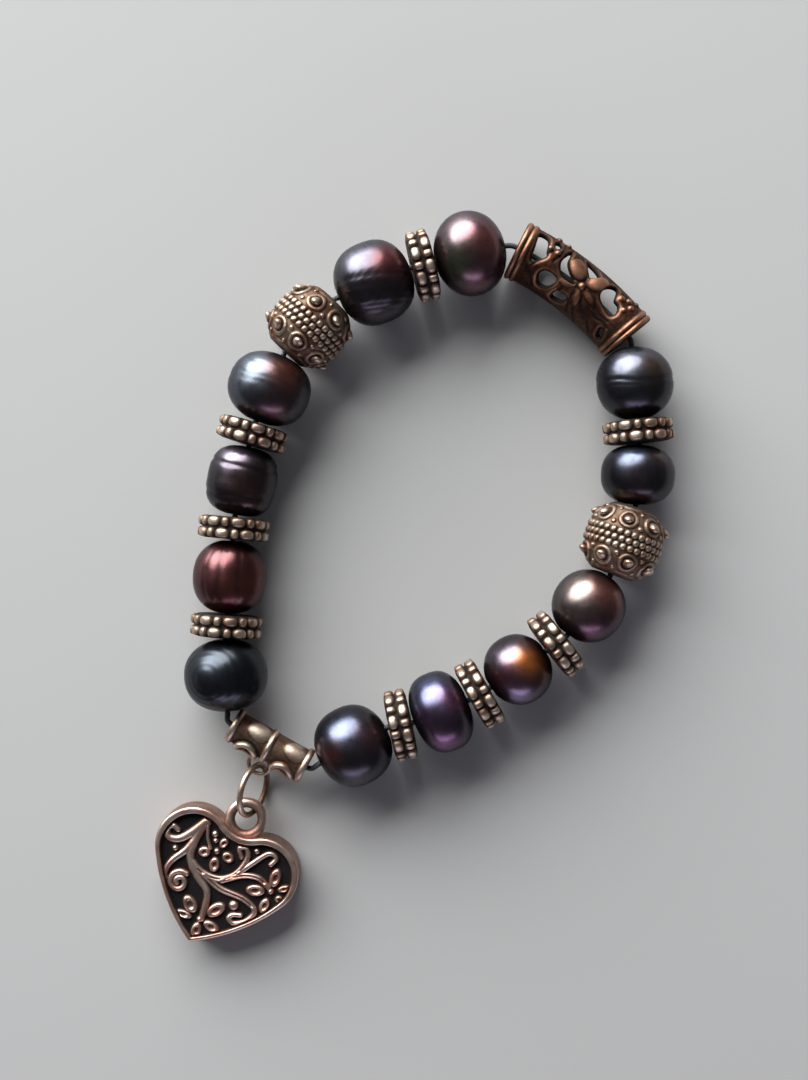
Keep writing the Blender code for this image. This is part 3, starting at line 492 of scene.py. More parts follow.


# Pearls

# Squareness of the outline, body colour, then patches of colour: where each lies seen from
# above (right, up, in shares of the radius), its size as a share of the radius, and its colour.
# The first patch, on the upper left where the window's highlight falls, is a painted highlight;
# a patch low down near the bottom edge, where the low light reflects, is a painted reflection;
# the others are the nacre's own overtones.
PEARLS = {
    "pearl_01": (2.2, (0.016, 0.016, 0.022), [
        (-0.25, 0.50, 0.55, (0.19, 0.21, 0.27)), (0.35, 0.28, 0.35, (0.15, 0.095, 0.07)),
        (0.0, -0.75, 0.45, (0.05, 0.05, 0.07))]),
    "pearl_02": (2.4, (0.016, 0.014, 0.020), [
        (-0.20, 0.60, 0.45, (0.17, 0.22, 0.32)), (0.45, 0.45, 0.40, (0.10, 0.065, 0.065)),
        (-0.10, -0.10, 0.35, (0.05, 0.034, 0.040)), (0.0, -0.78, 0.40, (0.08, 0.045, 0.07))]),
    "pearl_03": (2.1, (0.036, 0.021, 0.024), [
        (-0.35, 0.42, 0.55, (0.42, 0.34, 0.31)), (0.42, 0.40, 0.50, (0.38, 0.13, 0.11)),
        (-0.55, -0.10, 0.40, (0.12, 0.09, 0.08)), (0.1, -0.68, 0.45, (0.17, 0.065, 0.11))]),
    "pearl_04": (2.1, (0.034, 0.014, 0.020), [
        (-0.32, 0.45, 0.50, (0.27, 0.24, 0.31)), (0.24, 0.32, 0.42, (0.80, 0.20, 0.035)),
        (-0.45, -0.15, 0.40, (0.15, 0.040, 0.065)), (0.0, -0.75, 0.42, (0.26, 0.20, 0.33))]),
    "pearl_05": (2.5, (0.020, 0.018, 0.026), [
        (-0.30, 0.50, 0.50, (0.18, 0.21, 0.38)), (0.28, 0.40, 0.38, (0.18, 0.065, 0.13)),
        (-0.35, -0.05, 0.35, (0.075, 0.035, 0.075)), (0.1, -0.72, 0.45, (0.21, 0.085, 0.19))]),
    "pearl_06": (2.3, (0.018, 0.015, 0.020), [
        (-0.25, 0.50, 0.44, (0.15, 0.19, 0.29)), (0.45, 0.35, 0.38, (0.12, 0.055, 0.075)),
        (-0.50, -0.12, 0.32, (0.14, 0.035, 0.028)), (0.0, -0.75, 0.40, (0.075, 0.068, 0.090))]),
    "pearl_07": (2.2, (0.010, 0.013, 0.017), [
        (-0.30, 0.45, 0.50, (0.060, 0.080, 0.105)), (0.1, -0.70, 0.40, (0.022, 0.026, 0.034))]),
    "pearl_08": (2.3, (0.090, 0.016, 0.019), [
        (-0.30, 0.40, 0.50, (0.24, 0.080, 0.095)), (0.3, -0.2, 0.6, (0.16, 0.035, 0.028))]),
    "pearl_09": (2.9, (0.024, 0.017, 0.024), [
        (-0.10, 0.66, 0.48, (0.26, 0.21, 0.27)), (0.2, -0.3, 0.6, (0.075, 0.032, 0.032))]),
    "pearl_10": (2.3, (0.028, 0.029, 0.036), [
        (-0.35, 0.45, 0.55, (0.22, 0.27, 0.33)), (0.50, 0.32, 0.42, (0.26, 0.070, 0.050)),
        (0.15, -0.65, 0.42, (0.15, 0.060, 0.078))]),
    "pearl_11": (2.4, (0.030, 0.026, 0.032), [
        (-0.38, 0.55, 0.50, (0.24, 0.24, 0.31)), (0.35, 0.40, 0.42, (0.20, 0.040, 0.050)),
        (0.0, -0.6, 0.5, (0.050, 0.040, 0.050))]),
    "pearl_12": (2.1, (0.070, 0.032, 0.042), [
        (-0.3, 0.5, 0.50, (0.32, 0.24, 0.27)), (0.35, 0.15, 0.45, (0.27, 0.075, 0.080)),
        (-0.3, -0.45, 0.40, (0.09, 0.11, 0.06)), (0.2, -0.70, 0.40, (0.17, 0.075, 0.10))]),
}
# Marks in the nacre, with widths and depths in mm. Rings round the string: share of the half
# length, width, depth. Folds lengthwise: degrees round from the top, width, depth. Eyes, which
# are rings about a spot seen from above: right, up, width, radius, depth.
PEARL_RINGS = {
    "pearl_01": [(-0.05, 0.22, 0.10), (0.06, 0.16, 0.05)],
    "pearl_09": [(0.42, 0.30, 0.12), (-0.45, 0.30, 0.10), (-0.10, 0.20, 0.03)],
    "pearl_10": [(0.20, 0.22, 0.03), (-0.05, 0.20, 0.03), (0.50, 0.25, 0.03)],
    "pearl_11": [(-0.80, 0.16, 0.08), (-0.68, 0.14, 0.07), (-0.56, 0.14, 0.08), (-0.44, 0.13, 0.07),
                 (-0.32, 0.15, 0.09), (-0.20, 0.13, 0.06), (-0.04, 0.16, 0.11), (0.08, 0.13, 0.05)],
}
# Where the rings of a pearl don't lie square to its string: the degrees that they face.
PEARL_RINGS_FACE = {"pearl_11": 98}
PEARL_FOLDS = {
    "pearl_08": [(12, 0.45, 0.13), (-22, 0.40, 0.09), (35, 0.35, 0.05)],
}
PEARL_EYES = {
    "pearl_07": [(-0.40, -0.02, 0.35, 1.7, 0.05), (-0.40, -0.02, 0.30, 2.6, 0.05),
                 (-0.40, -0.02, 0.35, 3.5, 0.06), (-0.40, -0.02, 0.40, 4.6, 0.05)],
}


def arc_to(ways, right, up):
    """Angle from each direction to the spot seen from above at those shares of the radius."""
    spot = np.array([right, up, math.sqrt(max(1 - right ** 2 - up ** 2, 0))])
    return np.arccos(np.clip(ways @ spot, -1, 1))


def pearl(number, name):
    """Superellipse turned about the string, closed through its drilled hole: x = half the length
    times cos^(2/squareness), reach = radius times sin^(2/squareness). A slow unevenness and the
    marks are taken off the reach, so nothing grows past the solid."""
    seat = seats[name]
    square, body, overtones_and_painted_light = PEARLS[name]
    half, hole = seat.chord / 2, PEARL_HOLE / 2
    start = math.asin((0.5 * PEARL_END_FACE / seat.radius) ** (square / 2))
    turn = np.linspace(math.pi - start, start, PEARL_ROWS)
    x = np.sign(np.cos(turn)) * np.abs(np.cos(turn)) ** (2 / square)
    reach = seat.radius * np.sin(turn) ** (2 / square)
    bore_x = np.array([half, half, half - 0.08 * MM, half - 0.5 * MM, 0.0])
    bore_reach = np.array([hole + 0.30 * MM, hole + 0.12 * MM, hole + 0.02 * MM, hole, hole])
    x = np.concatenate([half * x / x.max(), bore_x, -bore_x[-2::-1]])
    reach = np.concatenate([reach, bore_reach, bore_reach[-2::-1]])
    on_skin = (np.arange(len(x)) < PEARL_ROWS)[:, None]

    x, reach, around = np.broadcast_arrays(x[:, None], reach[:, None], turns_round(PEARL_COLUMNS))
    chance = np.random.default_rng(number)
    slow = np.zeros(x.shape)
    for turns, bends in ((1, 1), (2, 1), (3, 2), (2, 3), (5, 2)):
        shift = chance.uniform(0, 2 * np.pi, 2)
        slow += np.cos(turns * around + shift[0]) * np.cos(bends * 2 * x / half + shift[1]) / 5
    fade = on_skin * eased(reach, 0.5 * PEARL_END_FACE, 0.5 * seat.radius)
    taken = PEARL_UNEVEN * seat.radius * (0.5 + 0.5 * slow) * fade
    from_middle = x
    points = seat.laid(x, around, reach) - seat.centre
    ways = points / np.linalg.norm(points, axis=-1, keepdims=True)
    if name in PEARL_RINGS_FACE:
        face = math.radians(PEARL_RINGS_FACE[name])
        from_middle = points @ [math.cos(face), math.sin(face), 0.0]
    for place, width, depth in PEARL_RINGS.get(name, []):
        wander = 0.25 * MM * np.cos(2 * around + 9 * place) + 0.1 * MM * np.cos(5 * around + place)
        ring = dip(from_middle - place * half - wander, width * MM)
        taken = taken + depth * MM * ring * fade
    for degrees, width, depth in PEARL_FOLDS.get(name, []):
        off = wrapped(around - math.radians(degrees)) * seat.radius
        off = off + 0.2 * MM * np.cos(3 * x / half + degrees)
        ends = eased(half - np.abs(x), 0, 0.35 * half)
        taken = taken + depth * MM * dip(off, width * MM) * fade * ends
    for right, up, width, ring, depth in PEARL_EYES.get(name, []):
        arc = arc_to(ways, right, up) * seat.radius
        taken = taken + depth * MM * dip(arc - ring * MM, width * MM) * fade

    # Colour of each point: the body's with the patches laid over it. The upper-left patch is a
    # painted highlight and a low one near the bottom a painted reflection; the rest are overtones.
    tint = np.zeros(points.shape) + body
    for right, up, size, colour in overtones_and_painted_light:
        share = dip(arc_to(ways, right, up) + 0.12 * slow, size)[..., None]
        tint = tint * (1 - share) + share * np.array(colour)
    tint = tint * (1 - GROOVE_DARKER * np.clip(taken / GROOVE_DEEP, 0, 1)[..., None])
    slot = next(p["material_slot"] for p in frame["record"]["subparts"] if p["node"] == name)
    piece = lay(name + "_nacre", seat.laid(x, around, reach - taken), grid_faces(*x.shape),
                nacre(name), slot, tint=tint)
    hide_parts(name)


for number, name in enumerate(sorted(PEARLS)):
    pearl(number, name)


# Metal turned about the string

def turned_silver(name, seat, x, around, reach, mark, face, hole, bevel, deep, shade):
    """Skin turned about the string and closed through its hole: from the reach of its flat face
    it goes in to a bevel, which ends a share deep of the half length in, and on along the hole.
    Shade is the mark in there."""
    x = np.concatenate([x, x[-1] * np.array([1.0, 1.0, deep, -deep, -1.0, -1.0])])
    bore = np.array([face, hole + bevel, hole, hole, hole + bevel, face])[:, None] + 0 * around
    reach, mark = np.vstack([reach, bore]), np.vstack([mark, np.full(bore.shape, shade)])
    return lay(name, seat.laid(x[:, None], around, reach), grid_faces(*reach.shape), silver,
               "antiqued_silver", height=mark)


# Spacers

def grain_field(x, around, half):
    """Height of two rows of grains, 0 to 1: each grain is a pillow of squareness 2.6, a long one
    and a round one in turn, with the second row out of step."""
    pair = 2 * np.pi / SPACER_PAIRS
    field = np.zeros(np.broadcast(x, around).shape)
    for row, (place, long_at, round_at) in enumerate(((-0.52, 0.30, 0.80), (0.52, 0.70, 0.20))):
        side = np.abs((x - place * half) / (0.46 * half)) ** 2.6
        for middle, size in ((long_at, 0.285), (round_at, 0.16)):
            off = wrapped(SPACER_PAIRS * (around - middle * pair)) / SPACER_PAIRS
            pillow = np.clip(1 - side - np.abs(off / (size * pair)) ** 2.6, 0, 1) ** 0.45
            field = np.maximum(field, pillow * (1.0 if size > 0.2 else 0.92))
    return field


def spacer(name):
    """Ring whose reach is a groove's plus the height of its grains, closed through its hole."""
    seat = seats[name]
    half = seat.chord / 2
    x = half * np.concatenate([[-1.0], np.linspace(-0.99, 0.99, SPACER_ROWS), [1.0]])
    around = turns_round(SPACER_STEPS * SPACER_PAIRS)
    grains = grain_field(x[:, None], around, half)
    past_edge = 1 - eased(half - np.abs(x), 0, SPACER_EDGE)[:, None]
    reach = seat.radius - SPACER_GRAIN * (1 - grains) - SPACER_EDGE_DROP * past_edge
    piece = turned_silver(name + "_grains", seat, x, around, reach, 0.04 + 0.86 * grains,
                          face=0.62 * seat.radius, hole=SPACER_HOLE / 2, bevel=0.15 * MM,
                          deep=0.97, shade=0.22)
    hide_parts(name)


for name in STRING:
    if name.startswith("spacer"):
        spacer(name)


# Carved beads

# Profile of the bead from its collar to its rope: share of the half length, share of the rise.
BARREL_BULGE = [(-1, 0), (-0.93, 0.25), (-0.80, 0.52), (-0.55, 0.86), (-0.28, 0.99), (0, 1)]


def carved_field(x, around, half):
    """Relief over the barrel: three rows of oval grains laid like bricks, bosses each of a knob
    in a ring, small dots between them and a collar ring, joined by the greatest height. A knob
    stands a little taller where it doesn't face down."""
    relief = np.zeros(np.broadcast(x, around).shape)
    knob_height = KNOB_TALLER + BOSS_HEIGHT + KNOB_LIFTED * eased(np.cos(around), -0.55, 0.0)
    boss_level = 0.86 * BARREL_WIDTH / 2

    def add(rise):
        np.maximum(relief, rise, out=relief)

    for row in (-1, 0, 1):
        off = x - row * ROPE_WIDTH
        turns = (ROPE_GRAINS * around + 0.9 * off / ROPE_WIDTH) / (2 * np.pi) + 0.5 * row
        grain = np.abs(turns - np.round(turns)) / 0.48
        pillow = np.clip(1 - grain ** 2.4 - np.abs(off / (0.50 * ROPE_WIDTH)) ** 2.4, 0, 1)
        add(ROPE_HEIGHT * pillow ** 0.5)
    for side in (-1, 1):
        add(COLLAR_RING_HEIGHT * rounded(x - side * 0.955 * half, COLLAR_RING_HALF))
        for k in range(BOSSES_ROUND):
            turn = 2 * np.pi * (k + 0.25 * side) / BOSSES_ROUND
            away = np.hypot(x - side * 0.60 * half, wrapped(around - turn) * boss_level)
            add(LOW_RELIEF * rounded(away - 0.41 * BOSS_WIDTH, 0.13 * BOSS_WIDTH))
            add(knob_height * rounded(away, 0.27 * BOSS_WIDTH) ** 0.9)
            between = wrapped(around - turn - np.pi / BOSSES_ROUND) * boss_level
            for place, size in ((0.42, 0.30), (0.84, 0.26)):
                add(LOW_RELIEF * rounded(np.hypot(x - side * place * half, between), size * MM))
    return relief


def carved_bead(name):
    """Barrel whose reach is its bulge plus the carved relief, closed through its hole."""
    seat = seats[name]
    half, hole, collar = seat.chord / 2, BARREL_HOLE / 2, BARREL_COLLAR / 2
    x = np.linspace(-half, half, BARREL_ROWS)
    around = turns_round(BARREL_COLUMNS)
    rise = np.interp(-np.abs(x) / half, *np.array(BARREL_BULGE).T)
    relief = carved_field(x[:, None], around, half)
    reach = (collar + rise * (BARREL_WIDTH / 2 - collar))[:, None] + relief
    piece = turned_silver(name + "_carving", seat, x, around, reach, wear(relief, WEAR_DEPTH),
                          face=hole + 0.5 * MM, hole=hole, bevel=0.1 * MM, deep=0.98, shade=0.2)
    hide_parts(name)


for name in ("carved_bead_1", "carved_bead_2"):
    carved_bead(name)


# Pierced tube

# Corners of the openings: share of the length, degrees round from the top towards the outside.
# The back has the same ones mirrored, a little turned.
OPENINGS = {
    "rim_gap": [(0.097, 50), (0.160, 53), (0.193, 18), (0.207, 4), (0.133, -18), (0.108, 8)],
    "leaf_eye": [(0.217, 50), (0.239, 63), (0.263, 49), (0.250, 36), (0.229, 36)],
    "left_crescent": [(0.336, 55), (0.351, 22), (0.410, 2), (0.478, -9), (0.416, -13),
                      (0.343, -4), (0.308, 18)],
    "left_round": [(0.222, -34), (0.250, -20), (0.334, -19), (0.357, -29), (0.321, -51),
                   (0.255, -56)],
    "lower_round": [(0.383, -63), (0.403, -42), (0.483, -40), (0.478, -58), (0.416, -68)],
    "petal_gap": [(0.452, 58), (0.518, 57), (0.581, 39), (0.527, 23)],
    "bean": [(0.645, 25), (0.675, 46), (0.716, 54), (0.748, 24), (0.795, 19), (0.819, 4),
             (0.800, -8), (0.735, -5), (0.660, 6)],
    "lower_slit": [(0.815, -42), (0.848, -38), (0.873, -60), (0.838, -63)],
}
BACK_TURN = math.radians(156)
FLOWER_ALONG, FLOWER_AROUND = 0.524, -3
# Petals: turn in degrees, share of the petal's length and of its width.
TUBE_PETALS = [
    (137, 1.25, 1.30), (50, 1.25, 1.22), (-18, 0.90, 0.62), (-75, 0.90, 0.60), (205, 0.90, 0.60),
]
# Engraved lines on the leaves, as corners in the same two measures.
TUBE_VEINS = [
    [(0.150, -25), (0.200, 10), (0.225, 22)],
    [(0.280, 62), (0.290, 30), (0.270, 5)],
    [(0.640, -12), (0.740, -22), (0.820, -20)],
    [(0.560, 70), (0.640, 62), (0.720, 66)],
    [(0.620, -42), (0.700, -50), (0.780, -72)],
    [(0.535, -22), (0.560, -44), (0.600, -66), (0.640, -84)],
    [(0.505, -24), (0.515, -46), (0.545, -70)],
    [(0.560, -18), (0.615, -38), (0.690, -52)],
    [(0.655, -30), (0.730, -34), (0.800, -28), (0.850, -30)],
    [(0.120, -34), (0.170, -44), (0.215, -64)],
    [(0.395, -20), (0.420, -30), (0.400, -38)],
]
# Small knobs of the leaf scrolls: share of the length, degrees round, width in mm.
TUBE_KNOBS = [
    (0.775, 37, 0.95), (0.822, 47, 0.80), (0.862, 36, 0.80), (0.838, 20, 0.65), (0.205, 26, 0.75),
    (0.262, 24, 0.70), (0.228, 72, 0.80), (0.300, 66, 0.70), (0.870, 62, 0.70),
]


def unrolled(points, radius):
    """Turns shares of the tube's length and degrees round into distances along and arcs from
    the top."""
    along, around = np.transpose(points)
    return np.column_stack([(along - 0.5) * TUBE_LENGTH, np.radians(around) * radius])


def opening_lines(radius):
    """Rounded outlines of all openings, unrolled, the mirrored ones of the back too."""
    lines = []
    for corners in OPENINGS.values():
        line = unrolled(smooth_line(corners, 6, closed=True), radius)
        lines += [line, ([0, BACK_TURN * radius] + line * [1, -1])[::-1]]
    return lines


def bent(seat, x, around, reach):
    """Points on the curved tube: its middle line is an arc, and the reach turns with it."""
    half = TUBE_LENGTH / 2 / TUBE_BEND_RADIUS
    turn, out = x / TUBE_BEND_RADIUS, reach * np.sin(around)
    return seat.placed((TUBE_BEND_RADIUS + out) * np.sin(turn),
                       (TUBE_BEND_RADIUS + out) * np.cos(turn) - TUBE_BEND_RADIUS * math.cos(half),
                       reach * np.cos(around))


def tube_relief(flat, radius, to_edge):
    """Rise and height mark over the unrolled tube: two rounded ridges at each end, a raised
    flower, knobs, engraved veins, and strips that fall away towards each opening's edge."""
    from_end = TUBE_LENGTH / 2 - np.abs(flat[:, 0])
    step = TUBE_RIM_WIDTH / 4
    rims = np.maximum(rounded(from_end - 1.05 * step, 1.02 * step),
                      rounded(from_end - 3.05 * step, 1.02 * step))
    on_rim = from_end < 1.02 * TUBE_RIM_WIDTH
    rise = np.where(on_rim, TUBE_RIM_HEIGHT * (1.5 * rims - 0.5),
                    -0.16 * MM * dip(to_edge, 0.28 * MM))
    mark = np.where(on_rim, 0.1 + 0.78 * rims,
                    0.50 + 0.20 * dip(to_edge - 0.30 * MM, 0.16 * MM)
                    - 0.40 * dip(to_edge, 0.12 * MM))
    for vein in TUBE_VEINS:
        cut = dip(nearest_on(unrolled(smooth_line(vein, 8), radius), flat)[0], VEIN_WIDTH)
        rise -= VEIN_DEPTH * cut
        mark -= 0.55 * cut

    def add(dome, height, value):
        on = dome > 0
        rise[on] = np.maximum(rise, height * dome)[on]
        mark[on] = value[on]

    off = flat - unrolled([(FLOWER_ALONG, FLOWER_AROUND)], radius)
    from_core = np.hypot(*off.T)
    for degrees, long, wide in TUBE_PETALS:
        along, side = turned_offsets(off, degrees)
        ellipse = np.hypot((along - 0.66 * long * PETAL_LENGTH) / (0.5 * long * PETAL_LENGTH),
                           side / (0.5 * wide * PETAL_WIDTH))
        dome = rounded(ellipse, 1.0) * (from_core < FLOWER_REACH)
        bold = min(long * wide, 1.0)
        add(dome, PETAL_HEIGHT * bold, 0.15 + (0.15 + 0.75 * bold) * dome)
    for along, around, width in TUBE_KNOBS:
        knob = rounded(np.hypot(*(flat - unrolled([(along, around)], radius)).T),
                       0.5 * width * MM)
        add(knob, TUBE_KNOB_HEIGHT, np.maximum(mark, 0.30 + 0.65 * knob))
    core = rounded(from_core, FLOWER_CORE)
    add(core, FLOWER_CORE_HEIGHT, 0.3 + 0.7 * core)
    return rise, mark


def pierced_tube():
    """Curved tube wall cut through: an outer and an inner grid of points, where the cells inside
    an opening are left out, the points round each opening are moved onto its outline, and walls
    join the two grids along every open edge."""
    seat = seats["filigree_tube"]
    radius = TUBE_WIDTH / 2
    rows, columns = TUBE_ROWS, TUBE_COLUMNS
    x = np.linspace(-TUBE_LENGTH / 2, TUBE_LENGTH / 2, rows)
    arc = turns_round(columns, -np.pi) * radius
    flat = np.stack(np.meshgrid(x, arc, indexing="ij"), axis=-1)
    middles = flat[:-1] + [0.5 * (x[1] - x[0]), 0.5 * (arc[1] - arc[0])]
    kept = np.ones((rows - 1, columns), bool)
    to_edge, edge_point = np.full((rows, columns), np.inf), flat.copy()
    whole_turn = 2 * np.pi * radius
    for line in opening_lines(radius):
        centre = line.mean(axis=0)
        reach = np.ptp(line, axis=0) / 2 + TUBE_EDGE_REACH

        def near_line(spots):
            turns = np.round((spots[..., 1:] - centre[1]) / whole_turn)
            turned = spots - [0, whole_turn] * turns
            return turned, (np.abs(turned - centre) < reach).all(axis=-1)

        turned, near = near_line(middles)
        kept[near] &= ~inside(line, turned[near])
        turned, near = near_line(flat)
        away, point, _ = nearest_on(line, turned[near], closed=True)
        closer = away < to_edge[near]
        spots = np.argwhere(near)[closer]
        to_edge[spots[:, 0], spots[:, 1]] = away[closer]
        shift = flat[near] - turned[near]
        edge_point[spots[:, 0], spots[:, 1]] = (point + shift)[closer]

    def touching(cells):
        padded = np.pad(cells, ((1, 1), (0, 0)))
        padded = padded | np.roll(padded, 1, axis=1)
        return padded[:-1] | padded[1:]

    on_edge = touching(kept) & touching(~kept)
    flat[on_edge] = edge_point[on_edge]
    to_edge[on_edge] = 0

    spots = flat.reshape(-1, 2)
    rise, mark = tube_relief(spots, radius, to_edge.ravel())
    around = spots[:, 1] / radius
    outer = bent(seat, spots[:, 0], around, radius + rise)
    inner = bent(seat, spots[:, 0], around, radius - TUBE_WALL + 0 * rise)
    points = np.vstack([outer, inner])
    marks = np.concatenate([mark, np.full(len(mark), 0.05)])

    cells = grid_faces(rows, columns, close_rows=False).reshape(rows - 1, columns, 4)
    under = rows * columns
    faces = [cells[kept], cells[kept][:, ::-1] + under]
    padded = np.pad(kept, ((1, 1), (0, 0)))
    beside = (np.roll(kept, 1, axis=1), padded[2:], np.roll(kept, -1, axis=1), padded[:-2])
    for k, other in enumerate(beside):
        first, last = cells[kept & ~other][:, [k, (k + 1) % 4]].T
        faces.append(np.column_stack([last, first, first + under, last + under]))
    used, faces = np.unique(np.vstack(faces), return_inverse=True)
    piece = lay("filigree_tube_pierced", points[used], faces.reshape(-1, 4), copper,
                "antiqued_copper", height=marks[used])
    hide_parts("filigree_tube")


pierced_tube()


# Wire loops and charm bail

def wire_loop(name, centre, first, second, width, wire, finish, seam=None):
    """Round wire bent to a circle in the plane of two directions: the wire's circle is carried
    round the ring, whose outer width is given, and a seam is a narrow groove round the wire."""
    turn, tilt = turns_round(WIRE_STEPS)[:, None], turns_round(WIRE_SIDES)[None, :]
    middle = (width - wire) / 2
    thin = np.ones_like(turn)
    if seam is not None:
        thin = 1 - SEAM_DEPTH * dip(wrapped(turn - seam) * middle, SEAM_WIDTH)
    reach = middle + wire / 2 * thin * np.cos(tilt)
    lift = wire / 2 * thin * np.sin(tilt)
    points = (centre + (reach * np.cos(turn))[..., None] * first
              + (reach * np.sin(turn))[..., None] * second
              + lift[..., None] * np.cross(first, second))
    return lay(name, points, grid_faces(WIRE_STEPS, WIRE_SIDES), finish, "antiqued_silver",
               height=0.70 + 0.25 * np.cos(tilt) - 1.3 * (1 - thin))


def bail():
    """Flared bail turned about the string: its reach is a waist plus three rings, smooth oval
    bosses on the loop's inner side and an arch round a deep hole on its outer side."""
    seat = seats["charm_bail"]
    half, radius, hole = seat.chord / 2, BAIL_WIDTH / 2, BAIL_HOLE / 2
    x = np.linspace(-half, half, BAIL_ROWS)
    around = turns_round(BAIL_COLUMNS, -np.pi)
    waist = radius * (0.80 + 0.05 * (np.abs(x) / half) ** 2)
    rings = np.maximum(rounded(np.abs(x) - 0.925 * half, 0.085 * half),
                       rounded(x, 0.075 * half))
    reach = (waist + (0.98 * radius - waist) * rings)[:, None] + 0 * around
    mark = (0.28 + 0.62 * rings)[:, None] + 0 * around
    level = 0.82 * radius
    for side in (-1, 1):
        from_side = x[:, None] - side * 0.48 * half
        over = wrapped(around - BAIL_BOSS_TURN) * level
        dome = rounded(np.hypot((from_side + BAIL_BOSS_SHIFT) / BAIL_BOSS_LONG,
                                over / BAIL_BOSS_WIDE), 1.0)
        reach = np.maximum(reach, level + BAIL_BOSS_HEIGHT * dome)
        mark = np.where(dome > 0, np.maximum(mark, 0.22 + 0.72 * dome), mark)
        over = wrapped(around - BAIL_ARCH_TURN) * level
        away = np.hypot(from_side + BAIL_ARCH_SHIFT, over)
        arch = rounded(away - BAIL_ARCH_RADIUS, BAIL_ARCH_HALF)
        reach = np.maximum(reach, level + BAIL_ARCH_HEIGHT * arch)
        mark = np.maximum(mark, 0.30 + 0.70 * arch)
        opening = eased(BAIL_OPENING - away, 0, 0.18 * MM)
        reach = reach + opening * (hole + 0.12 * MM - reach)
        under = dip(away - 1.85 * MM, 0.24 * MM) * (arch == 0) * (dome == 0)
        mark = mark * (1 - opening) - 0.32 * under
    piece = turned_silver("charm_bail_body", seat, x, around, reach, mark, face=0.80 * radius,
                          hole=hole, bevel=0.12 * MM, deep=0.98, shade=0.25)
    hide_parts("charm_bail")

    hang = radius + (BAIL_LOOP_WIDTH - BAIL_LOOP_WIRE) / 2 - BAIL_LOOP_SINK
    outward = seat.out * math.cos(BAIL_LOOP_DROP) - seat.up * math.sin(BAIL_LOOP_DROP)
    wire_loop("charm_bail_loop", seat.centre + hang * outward, seat.along, outward,
              BAIL_LOOP_WIDTH, BAIL_LOOP_WIRE, silver)


bail()


# Jump ring

def jump_ring():
    """Loop in the plane that its solid's points lie closest to, turned a little steeper about
    its level direction and lifted where that would take it under the floor."""
    points = solid_points("jump_ring")
    centre = (points.max(axis=0) + points.min(axis=0)) / 2
    _, _, axes = np.linalg.svd(points - centre, full_matrices=False)
    normal = axes[2] if axes[2][2] > 0 else -axes[2]
    level = np.cross([0.0, 0.0, 1.0], normal)
    level /= np.linalg.norm(level)
    steep = np.cross(normal, level)
    steep = steep * math.cos(RING_STEEPER) + normal * math.sin(RING_STEEPER)
    outer = np.linalg.norm(points - centre, axis=1).max()
    drop = (outer - RING_WIRE / 2) * abs(steep[2]) + RING_WIRE / 2
    centre[2] = max(centre[2], drop + 0.02 * MM)
    piece = wire_loop("jump_ring_wire", centre, level, steep, 2 * outer, RING_WIRE, silver,
                      RING_SEAM)
    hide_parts("jump_ring")


jump_ring()


# Heart charm

# Lines of the relief. Each point is across and along from the tip, in shares of the width. With
# each line come its width at the start and at the end, in shares of a full stroke, and from
# where to where along it, as shares, a groove runs.
SCROLLS = {
    "left_curl": ([(-0.230, 0.767), (-0.301, 0.644), (-0.356, 0.584), (-0.418, 0.570),
                   (-0.449, 0.608), (-0.430, 0.652), (-0.382, 0.640)], 1.10, 0.62, None),
    "left_branch": ([(-0.253, 0.621), (-0.279, 0.534), (-0.332, 0.438), (-0.345, 0.360),
                     (-0.323, 0.288)], 0.85, 0.60, None),
    "stem": ([(-0.244, 0.731), (-0.250, 0.600), (-0.226, 0.499), (-0.131, 0.408),
              (-0.026, 0.336), (0.012, 0.166)], 1.00, 0.72, None),
    "main_curve": ([(-0.214, 0.489), (-0.111, 0.447), (0.011, 0.459), (0.095, 0.536),
                    (0.120, 0.660), (0.085, 0.719), (0.045, 0.700), (0.080, 0.649)],
                   0.80, 0.55, (0.12, 0.55)),
    "right_branch": ([(0.107, 0.541), (0.165, 0.643), (0.236, 0.748), (0.296, 0.742),
                      (0.280, 0.686)], 0.65, 0.55, None),
    "lower_branch": ([(0.027, 0.455), (0.138, 0.541), (0.244, 0.571), (0.333, 0.541)],
                     0.75, 0.60, (0.10, 0.85)),
    "long_curl": ([(-0.093, 0.440), (0.038, 0.400), (0.210, 0.402), (0.311, 0.362),
                   (0.295, 0.284), (0.224, 0.228), (0.175, 0.243), (0.193, 0.277),
                   (0.238, 0.294)], 0.80, 0.55, (0.05, 0.50)),
    "thin_stem": ([(-0.210, 0.746), (-0.178, 0.671), (-0.131, 0.618)], 0.42, 0.36, None),
}
SPIRAL_PLACE, SPIRAL_RADIUS, SPIRAL_TURNS = (-0.232, 0.326), 0.074, 1.45
SPIRAL_START, SPIRAL_INNER, SPIRAL_STROKE, SPIRAL_POINTS = 1.2, 0.22, 0.62, 16
# Dots: across, along, width.
DOTS = [(0.170, 0.334, 0.065), (0.158, 0.730, 0.041), (-0.144, 0.717, 0.045),
        (-0.122, 0.679, 0.036), (-0.348, 0.520, 0.041), (-0.388, 0.640, 0.034),
        (0.080, 0.652, 0.032), (0.240, 0.296, 0.032)]
# Flowers: middle, then each petal's turn in degrees, reach, length and width.
FLOWERS = {
    (-0.085, 0.617): [(-153, 0.085, 0.074, 0.061), (-76, 0.091, 0.088, 0.061),
                      (-4, 0.085, 0.074, 0.061), (74, 0.072, 0.068, 0.047)],
    (0.355, 0.525): [(-159, 0.102, 0.115, 0.068), (96, 0.095, 0.115, 0.064),
                     (35, 0.092, 0.081, 0.041), (-20, 0.077, 0.047, 0.047),
                     (-90, 0.105, 0.095, 0.054)],
    (0.002, 0.155): [(147, 0.120, 0.115, 0.074), (55, 0.126, 0.122, 0.074),
                     (187, 0.115, 0.108, 0.047), (-83, 0.076, 0.095, 0.061),
                     (-7, 0.093, 0.108, 0.058)],
}


